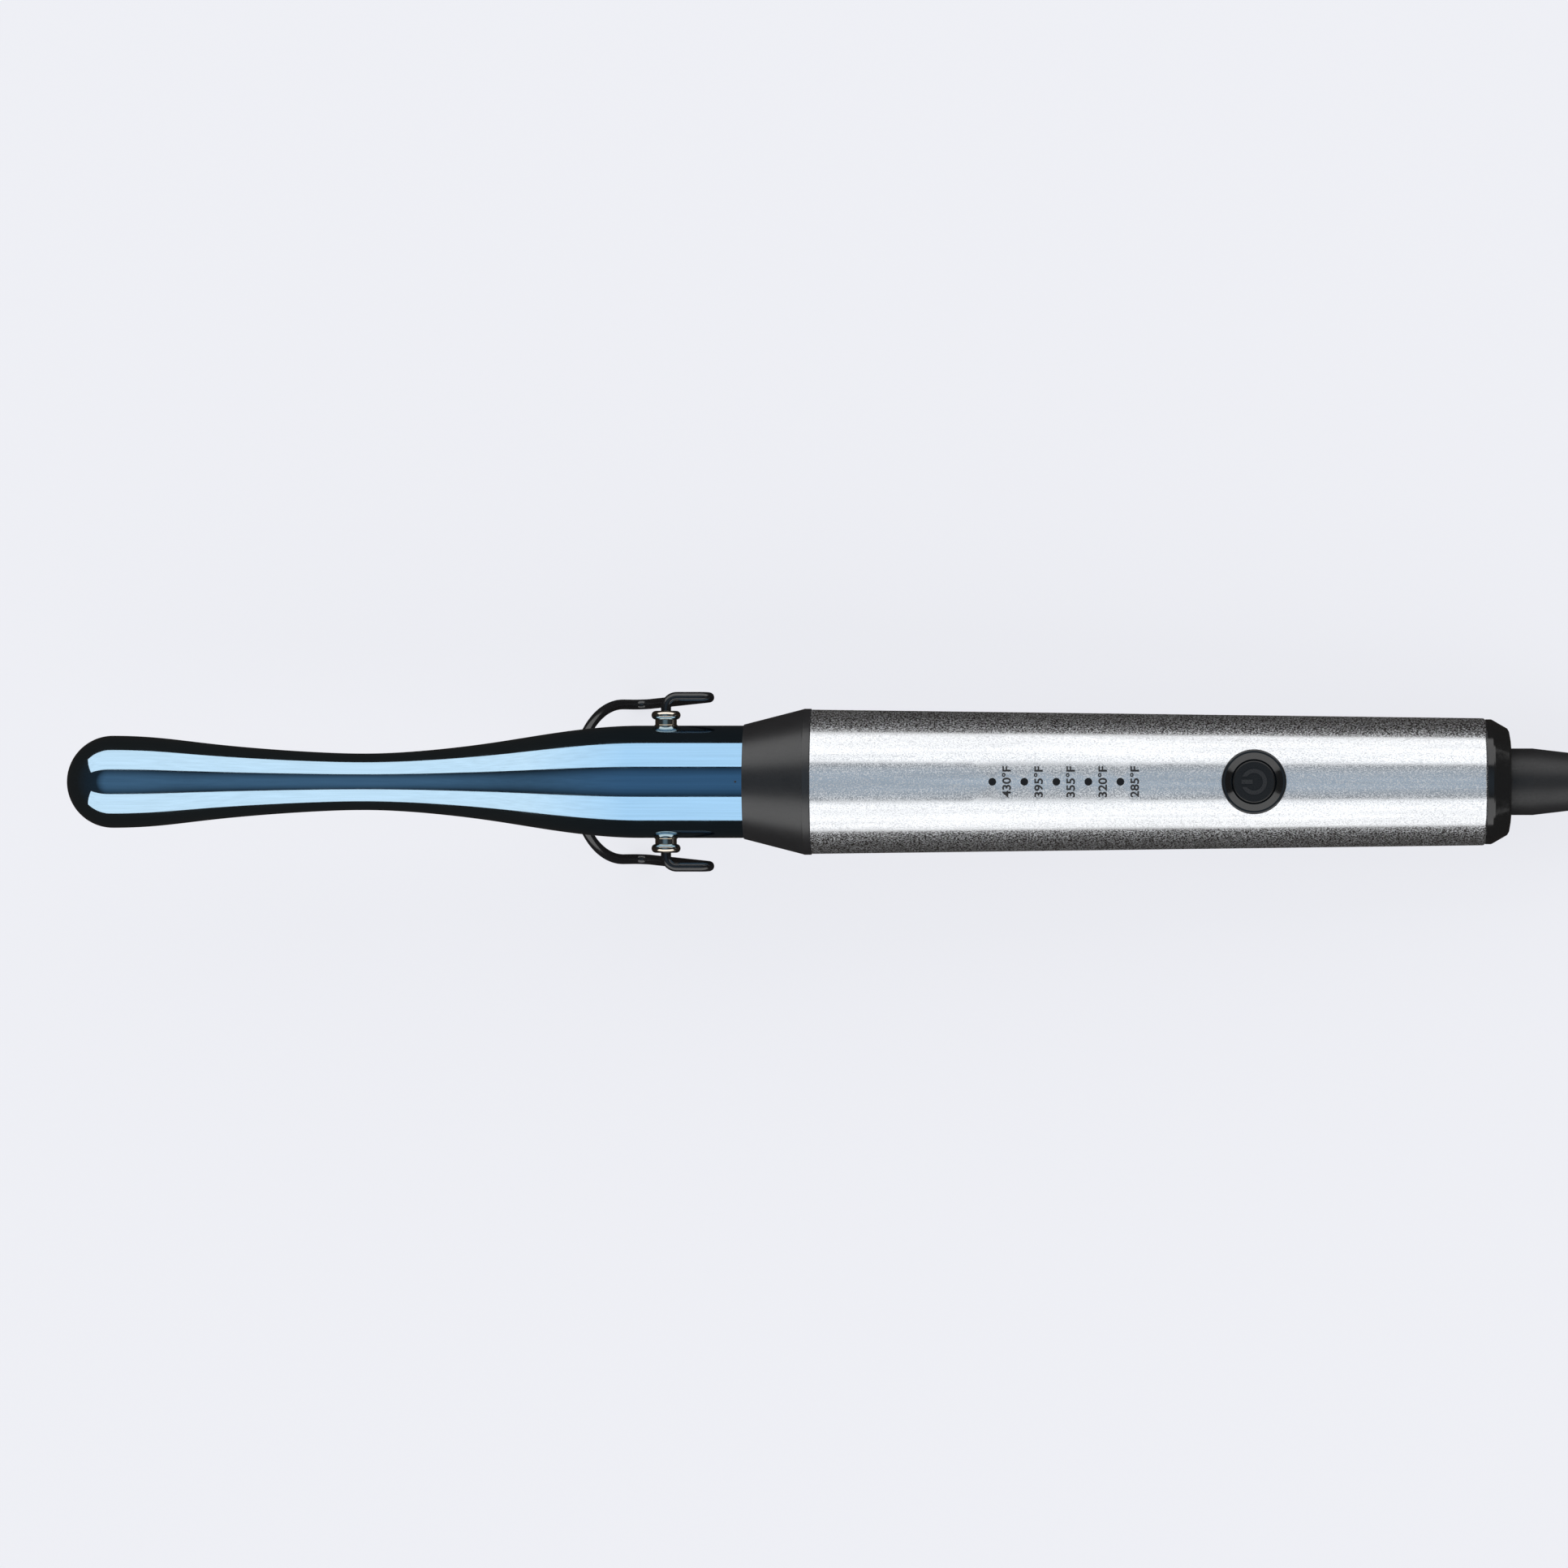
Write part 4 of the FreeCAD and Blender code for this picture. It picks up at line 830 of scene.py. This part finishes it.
# %% Lathe on the iron
LATHE_STEPS = 192
NOSE_WALL_TO = 2.2 * MM
NOSE_WALL_POINTS = 12
INSIDE_SHIFT = 0.3 * BARREL_WALL
NOSE_TIP_R = 0.02 * MM


def lathe_on_iron(name, profile, steps=LATHE_STEPS):
    """Turn a profile of (distance from the tip, radius) about the iron's axis."""
    rings = []
    for from_tip, radius in profile:
        turns = [2 * math.pi * step / steps for step in range(steps)]
        rings.append([on_iron(from_tip, radius * math.sin(a), radius * math.cos(a)) for a in turns])
    return closed_mesh(name, rings)


outside = barrel_profile()
nose_end = max(index for index, (x, radius) in enumerate(outside) if x < NOSE_WALL_TO)
hollow_part = outside[nose_end + NOSE_WALL_POINTS:]
inside = [(x + INSIDE_SHIFT, radius - BARREL_WALL) for x, radius in hollow_part]
inside[-1] = (BARREL_LENGTH, BASE_R - BARREL_WALL)
barrel_tube = lathe_on_iron("barrel_tube", [(0.0, NOSE_TIP_R)] + outside + inside[::-1])
smooth_faces(barrel_tube, 40)
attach(barrel_tube, "iron")
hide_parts("barrel_shell")
print("barrel waist radius", round(min(radius for x, radius in outside[60:]) * 1000, 2), "mm")

# %% [markdown]
# A pin-prick vent lets the air out of the closed tube as it heats. It sits on the button side
# just before the collar. It is far too small to need a hole in the mesh, so a tiny domed plug
# of black stands a hair above the metal, as painted shade for the dark inside of the hole.

# %% Barrel vent
VENT_FROM_TIP = 152.4 * MM
VENT_R = 0.28 * MM
vent_rings = []
for share, lift in ((1.0, -0.05 * MM), (0.8, 0.015 * MM), (0.3, 0.02 * MM)):
    spots = [math.radians(15 * step) for step in range(24)]
    vent_rings.append([
        on_iron(VENT_FROM_TIP + VENT_R * share * math.cos(a), VENT_R * share * math.sin(a), BASE_R + lift)
        for a in spots
    ])
# Painted shade: this black dome stands for the dark inside of the vent hole.
vent_hole_shade = closed_mesh("vent_hole_shade", vent_rings)
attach(vent_hole_shade, "iron")
print("vent", round(2000 * VENT_R, 2), "mm wide")

# %% [markdown]
# ## Temperature marks
# Five printed settings stand beside the five lights, read from the side of the iron. Text
# objects give the figures. Their meshes are then bent round the handle point by point, so the
# ink lies on the tapered sleeve instead of floating as a flat label over it.

# %% Temperature marks
SLEEVE_FRONT = 169.0 * MM
SLEEVE_REAR = 320.6 * MM
SLEEVE_FRONT_R = 16.3 * MM
SLEEVE_REAR_R = 14.3 * MM
WINDOW_FIRST = 210.1 * MM
WINDOW_PITCH = 7.15 * MM
MARK_FROM_WINDOW = 3.15 * MM
MARK_HEIGHT = 2.05 * MM
MARK_LENGTH = 7.0 * MM
INK = 0.03 * MM
LETTER_SIZE = 10.0 * MM
STROKE_GAIN = 0.022
SETTINGS = ["430°F", "395°F", "355°F", "320°F", "285°F"]


def sleeve_radius(from_tip):
    share = (from_tip - SLEEVE_FRONT) / (SLEEVE_REAR - SLEEVE_FRONT)
    return SLEEVE_FRONT_R + (SLEEVE_REAR_R - SLEEVE_FRONT_R) * share


def printed_mark(name, text, from_tip):
    """One line of ink, wrapped on the sleeve, reading across the handle."""
    letters = bpy.data.curves.new(name, "FONT")
    letters.body = text
    letters.size = LETTER_SIZE
    letters.resolution_u = 4
    letters.offset = STROKE_GAIN * LETTER_SIZE
    mark = as_mesh(link(bpy.data.objects.new(name, letters)), name)
    xs = [v.co.x for v in mark.data.vertices]
    ys = [v.co.y for v in mark.data.vertices]
    wide = max(xs) - min(xs)
    tall = max(ys) - min(ys)
    for vertex in mark.data.vertices:
        sideways = ((vertex.co.x - min(xs)) / wide - 0.5) * MARK_LENGTH
        along = from_tip + MARK_HEIGHT * (0.5 - (vertex.co.y - min(ys)) / tall)
        radius = sleeve_radius(along) + INK / 2
        turn = sideways / radius
        vertex.co = on_iron(along, radius * math.sin(turn), radius * math.cos(turn))
    thickness = mark.modifiers.new("ink thickness", "SOLIDIFY")
    thickness.thickness = INK
    thickness.offset = 0
    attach(mark, "iron")
    return mark


temperature_marks = []
for step, setting in enumerate(SETTINGS):
    place = WINDOW_FIRST + WINDOW_PITCH * step + MARK_FROM_WINDOW
    temperature_marks.append(printed_mark(f"mark_{setting[:3]}", setting, place))
print(len(temperature_marks), "temperature marks")

# %% [markdown]
# ## Finishes
# Every finish is made of nodes. A number that is the same all over is set on the shader, and
# what varies comes from noise in the iron's own directions. `along_iron` turns the object's
# coordinates into distances along, across and above the iron, and `stretch` draws the noise
# out lengthwise, as polishing and brushing do.

# %% Node helpers
def add(tree, kind, **inputs):
    """Add a shader node. Each input is a plain value or another node's output."""
    made = tree.nodes.new("ShaderNode" + kind)
    for name, value in inputs.items():
        socket = made.inputs[name.replace("_", " ")]
        if isinstance(value, bpy.types.NodeSocket):
            tree.links.new(value, socket)
        else:
            socket.default_value = value
    return made


def along_iron(tree, stretch=1.0):
    place = add(tree, "TexCoord").outputs["Object"]
    turned = add(tree, "Mapping", Vector=place)
    turned.vector_type = "TEXTURE"
    turned.inputs["Rotation"].default_value = iron_turn.to_euler()
    turned.inputs["Scale"].default_value = (stretch, 1, 1)
    return turned.outputs["Vector"]


def noise(tree, place, grain, detail=3.0):
    """Cloudy noise whose blobs are about one grain wide."""
    return add(tree, "TexNoise", Vector=place, Scale=1 / grain, Detail=detail).outputs["Fac"]


def spread(tree, value, low, high, start=0.3, end=0.7):
    """Stretch a noise value over a range of numbers."""
    mapped = add(tree, "MapRange", Value=value)
    limits = {"From Min": start, "From Max": end, "To Min": low, "To Max": high}
    for name, number in limits.items():
        mapped.inputs[name].default_value = number
    return mapped.outputs["Result"]


def tones(tree, value, first, second, start=0.35, end=0.65):
    """Fade between two colours as a value goes from start to end."""
    ramp = add(tree, "ValToRGB", Fac=value)
    for element, position, colour in zip(ramp.color_ramp.elements, (start, end), (first, second)):
        element.position = position
        element.color = (*colour, 1)
    return ramp.outputs["Color"]


def lifted(tree, height, depth, strength=1.0, below=None):
    """A bump of a real depth, on top of another bump if one is given."""
    bump = add(tree, "Bump", Height=height, Distance=depth, Strength=strength)
    if below is not None:
        tree.links.new(below, bump.inputs["Normal"])
    return bump.outputs["Normal"]


print("node helpers ready")


# %% [markdown]
# Most parts share one kind of surface: a fine grain that moves the roughness and lifts the
# skin by a few thousandths, and broad patches that shift the colour a little, from handling
# and wear. `grained` makes such a finish, and the parts differ only in its numbers.

# %% A grained finish
def shaded(colour, factor):
    return tuple(min(1.0, channel * factor) for channel in colour)


def grained(name, colour, roughness, metallic=0.0, grain=0.3 * MM, depth=0.004 * MM,
            play=0.08, tint=0.12, stretch=1.0, shine=0.5):
    material, tree, shader = principled(name, colour, roughness, metallic)
    shader.inputs["Specular IOR Level"].default_value = shine
    place = along_iron(tree, stretch)
    fine = noise(tree, place, grain)
    patches = noise(tree, place, 25 * grain, 5.0)
    colours = tones(tree, patches, shaded(colour, 1 - tint), shaded(colour, 1 + tint))
    tree.links.new(colours, shader.inputs["Base Color"])
    rough = spread(tree, fine, max(0.02, roughness - play), min(1.0, roughness + play))
    tree.links.new(rough, shader.inputs["Roughness"])
    tree.links.new(lifted(tree, fine, depth), shader.inputs["Normal"])
    return material


print("grained finish ready")

# %% [markdown]
# The barrel is titanium with a thin blue oxide film, polished to a mirror. Over the waist and
# nose its base colour is paler and whiter: a painted highlight for the brighter, saturated
# softbox reflection there. At the base it is full blue. Polishing leaves hair-thin lengthwise
# lines, so the noise is drawn out sixty to one. The colour sits in the metal's own reflection,
# not in a coat: it tints what it mirrors.

# %% Blue titanium
PAINTED_HIGHLIGHT_TO = 105.0 * MM
FULL_FROM = 128.0 * MM


def blue_titanium():
    full, painted_highlight_blue = (0.325, 0.55, 0.775), (0.455, 0.645, 0.80)
    material, tree, shader = principled("blue_titanium", full, 0.06, 1.0)
    axis_x = on_iron(0.0).dot(iron_axis)
    place = along_iron(tree)
    distance = add(tree, "SeparateXYZ", Vector=place).outputs["X"]
    # Painted highlight: the base colour fades from a paler, whiter blue near the tip to full blue at the
    # base.
    painted_highlight_fade = spread(tree, distance, 0.0, 1.0, axis_x + PAINTED_HIGHLIGHT_TO, axis_x + FULL_FROM)
    base = tones(tree, painted_highlight_fade, painted_highlight_blue, full, 0.0, 1.0)
    lines = noise(tree, along_iron(tree, 60.0), 0.5 * MM, 4.0)
    veil = spread(tree, lines, 0.93, 1.05)
    tinted = add(tree, "VectorMath")
    tinted.operation = "SCALE"
    tree.links.new(base, tinted.inputs[0])
    tree.links.new(veil, tinted.inputs["Scale"])
    tree.links.new(tinted.outputs["Vector"], shader.inputs["Base Color"])
    smudge = noise(tree, place, 9.0 * MM, 4.0)
    tree.links.new(spread(tree, smudge, 0.035, 0.085), shader.inputs["Roughness"])
    tree.links.new(lifted(tree, lines, 0.0015 * MM, 0.6), shader.inputs["Normal"])
    return material


# The distance over which the painted highlight fades into the full blue.
print("film deepens over", round((FULL_FROM - PAINTED_HIGHLIGHT_TO) * 1000, 1), "mm")

# %% [markdown]
# The handle sleeve is aluminium, blasted and then brushed along its length. Its bands of light
# have soft, speckled borders: each tiny facet is either fairly smooth or quite rough. Roughness
# that jumps between two levels from grain to grain gives both the sharp core and the wide glow,
# which a single middle roughness can't.

# %% Brushed aluminium
def brushed_aluminium():
    colour = (0.885, 0.90, 0.925)
    material, tree, shader = principled("brushed_sleeve", colour, 0.3, 1.0)
    streaks = noise(tree, along_iron(tree, 9.0), 0.16 * MM, 3.0)
    speckle = noise(tree, along_iron(tree, 1.6), 0.22 * MM, 2.0)
    broad = noise(tree, along_iron(tree, 30.0), 1.3 * MM, 3.0)
    colours = tones(tree, broad, shaded(colour, 0.93), shaded(colour, 1.05))
    tree.links.new(colours, shader.inputs["Base Color"])
    tree.links.new(spread(tree, speckle, 0.17, 0.58, 0.48, 0.62), shader.inputs["Roughness"])
    brushed = lifted(tree, streaks, 0.002 * MM, 0.25)
    grainy = lifted(tree, speckle, 0.003 * MM, 0.12, below=brushed)
    tree.links.new(grainy, shader.inputs["Normal"])
    return material


print("brushed aluminium ready")

# %% [markdown]
# The power button carries a raised symbol whose top is given a paler tone: a painted highlight
# for the light that the raised symbol catches. Height alone tells the symbol from the button's
# face, so the paler tone starts at the height of that face, measured out from the iron's axis.

# %% Painted highlight on the symbol
BUTTON_FACE = 15.3 * MM
SYMBOL_HEIGHT = 0.15 * MM


def button_black():
    material = grained("button_black", (0.010, 0.010, 0.0105), 0.30, play=0.06, shine=0.5)
    tree = material.node_tree
    shader = tree.nodes["Principled BSDF"]
    face_height = on_iron(0.0, 0.0, BUTTON_FACE).dot(button_side)
    out = add(tree, "SeparateXYZ", Vector=along_iron(tree)).outputs["Z"]
    above = spread(tree, out, 0.0, 1.0, face_height + 0.2 * SYMBOL_HEIGHT, face_height + SYMBOL_HEIGHT)
    painted_symbol_highlight = tones(tree, above, (0.010, 0.010, 0.0105), (0.024, 0.024, 0.025), 0.0, 1.0)
    # Painted highlight: the top of the raised symbol gets a paler tone for the light its relief catches.
    tree.links.new(painted_symbol_highlight, shader.inputs["Base Color"])
    return material


print("rubbed tone starts", round(BUTTON_FACE * 1000, 1), "mm from the axis")

# %% [markdown]
# The tie is woven tape. Two sets of waves, along and across the strap, stand for its warp and
# weft, and the two are multiplied, so a crossing stands high only where both waves do. They
# follow the strap's own UV, laid out in metres, so the threads stay 0.7 mm apart round every corner.

# %% Woven tape
THREAD_PITCH = 0.7 * MM


def woven_tape():
    material, tree, shader = principled("woven_tape", (0.018, 0.018, 0.02), 0.85)
    shader.inputs["Sheen Weight"].default_value = 0.4
    shader.inputs["Sheen Roughness"].default_value = 0.5
    strap_uv = add(tree, "UVMap")
    strap_uv.uv_map = "weave"
    threads = []
    for direction in ("X", "Y"):
        wave = add(tree, "TexWave", Vector=strap_uv.outputs["UV"], Scale=0.314 / THREAD_PITCH)
        wave.bands_direction = direction
        threads.append(wave.outputs["Fac"])
    over = add(tree, "Math")
    over.operation = "MULTIPLY"
    for socket, thread in zip(over.inputs, threads):
        tree.links.new(thread, socket)
    fuzz = noise(tree, along_iron(tree), 0.2 * MM)
    colours = tones(tree, over.outputs[0], (0.008, 0.008, 0.009), (0.035, 0.035, 0.038), 0.1, 0.9)
    tree.links.new(colours, shader.inputs["Base Color"])
    tree.links.new(spread(tree, fuzz, 0.75, 0.95), shader.inputs["Roughness"])
    weave = lifted(tree, over.outputs[0], 0.15 * MM, 0.8)
    tree.links.new(lifted(tree, fuzz, 0.03 * MM, 0.5, below=weave), shader.inputs["Normal"])
    return material


print("threads", round(THREAD_PITCH * 1000, 1), "mm apart")

# %% [markdown]
# The circuit board is green lacquer over copper tracks. A brick pattern of thin lines under
# the lacquer is enough: it is seen only when the handle is open.

# %% Circuit board
def lacquered_board():
    material, tree, shader = principled("lacquered_board", (0.02, 0.16, 0.06), 0.35)
    place = along_iron(tree)
    tracks = add(tree, "TexBrick", Vector=place, Scale=1.0)
    tracks.inputs["Color1"].default_value = (0.018, 0.15, 0.05, 1)
    tracks.inputs["Color2"].default_value = (0.022, 0.17, 0.06, 1)
    tracks.inputs["Mortar"].default_value = (0.05, 0.28, 0.12, 1)
    tracks.inputs["Mortar Size"].default_value = 0.25 * MM
    tracks.inputs["Brick Width"].default_value = 4.0 * MM
    tracks.inputs["Row Height"].default_value = 1.6 * MM
    tree.links.new(tracks.outputs["Color"], shader.inputs["Base Color"])
    lacquer = noise(tree, place, 0.8 * MM)
    tree.links.new(spread(tree, lacquer, 0.28, 0.42), shader.inputs["Roughness"])
    tree.links.new(lifted(tree, tracks.outputs["Fac"], 0.02 * MM, 0.6), shader.inputs["Normal"])
    return material


print("board lacquer ready")

# %% [markdown]
# The other finishes are grained ones. Black is never just black: the wire is enamelled and
# satin, the collar is fine matt moulded plastic, the end cap and the bezel are polished
# plastic, and the boot and the cord are soft rubbers with a dull, wide highlight.

# %% Finishes by slot
FINISHES = {
    "titanium_barrel": blue_titanium(),
    "brushed_aluminium": brushed_aluminium(),
    "tie_fabric": woven_tape(),
    "board_green": lacquered_board(),
    "bright_nickel": grained("bright_nickel", (0.86, 0.78, 0.67), 0.09, 1.0, depth=0.001 * MM,
                             play=0.04, tint=0.04),
    "black_wire": grained("black_enamel", (0.009, 0.009, 0.010), 0.17, grain=0.7 * MM,
                          depth=0.002 * MM, play=0.05, shine=1.0),
    "matte_black": grained("matt_moulding", (0.012, 0.012, 0.013), 0.35, depth=0.010 * MM,
                           play=0.07, shine=1.0),
    "gloss_black": grained("polished_black", (0.009, 0.009, 0.009), 0.13, grain=1.2 * MM,
                           play=0.05, shine=0.8),
    "boot_rubber": grained("boot_rubber", (0.013, 0.013, 0.014), 0.46, grain=0.4 * MM,
                           depth=0.012 * MM, shine=0.6),
    "cord_rubber": grained("cord_rubber", (0.012, 0.012, 0.013), 0.5, grain=0.5 * MM, depth=0.015 * MM),
    "plug_rubber": grained("plug_rubber", (0.014, 0.014, 0.015), 0.42, grain=0.35 * MM, depth=0.012 * MM),
    "window_smoke": grained("smoked_window", (0.010, 0.009, 0.009), 0.22, grain=0.5 * MM, play=0.05),
    "led_clear": grained("led_resin", (0.75, 0.68, 0.52), 0.2, play=0.05),
    "ceramic_white": grained("white_ceramic", (0.80, 0.78, 0.74), 0.55, depth=0.01 * MM),
    "spreader_aluminium": grained("extruded_aluminium", (0.78, 0.79, 0.80), 0.35, 1.0, stretch=20.0),
    "spring_steel": grained("spring_steel", (0.52, 0.50, 0.47), 0.28, 1.0),
    "screw_steel": grained("zinc_plate", (0.68, 0.69, 0.71), 0.3, 1.0, grain=0.2 * MM),
    "contact_brass": grained("brass_strip", (0.80, 0.62, 0.32), 0.24, 1.0, stretch=8.0, tint=0.08),
    "lead_silicone": grained("white_sleeving", (0.74, 0.73, 0.70), 0.6, depth=0.02 * MM),
    "inner_plastic": grained("glass_filled_nylon", (0.045, 0.045, 0.047), 0.5, depth=0.01 * MM),
    "component_black": grained("component_black", (0.02, 0.02, 0.022), 0.5),
    "component_blue": grained("component_blue", (0.03, 0.12, 0.36), 0.35),
}
print(len(FINISHES), "finishes")

# %% [markdown]
# Each node of the model names its slot in the record, so one loop dresses them all. The
# printed marks get their own ink, darker and flatter than the plastics. The vent's dome takes
# the same black, as painted shade for the inside of the hole.

# %% Dress the parts
# The same black serves the printed marks and, as painted shade, the vent's dome.
ink_and_hole_shade = grained("printing_ink_and_hole_shade", (0.018, 0.018, 0.02), 0.55, grain=0.15 * MM, depth=0.002 * MM)


def dress(piece, material):
    piece.data.materials.clear()
    piece.data.materials.append(material)


for part in frame["record"]["subparts"]:
    dress(frame["nodes"][part["node"]], FINISHES[part["material_slot"]])
dress(frame["nodes"]["power_button"], button_black())
dress(barrel_tube, FINISHES["titanium_barrel"])
dress(mains_cord, FINISHES["cord_rubber"])
dress(plug_moulding, FINISHES["plug_rubber"])
dress(plug_blade_pair, FINISHES["contact_brass"])
dress(hank_strap, FINISHES["tie_fabric"])
# The vent's dome is painted shade for its hole, in the same black as the marks.
for mark in temperature_marks + [vent_hole_shade]:
    dress(mark, ink_and_hole_shade)

# %% [markdown]
# ## Sizes
# The box round the model as designed and the box round what is seen should agree. Both are
# printed, in millimetres, so that a piece of the wrong size shows up as a number.

# %% Print the sizes
bpy.context.view_layer.update()
boxes = {"cad": cad_box, "visual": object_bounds()}
for name, (low, high) in boxes.items():
    print(name, "is", [round((b - a) * 1000, 1) for a, b in zip(low, high)], "mm")
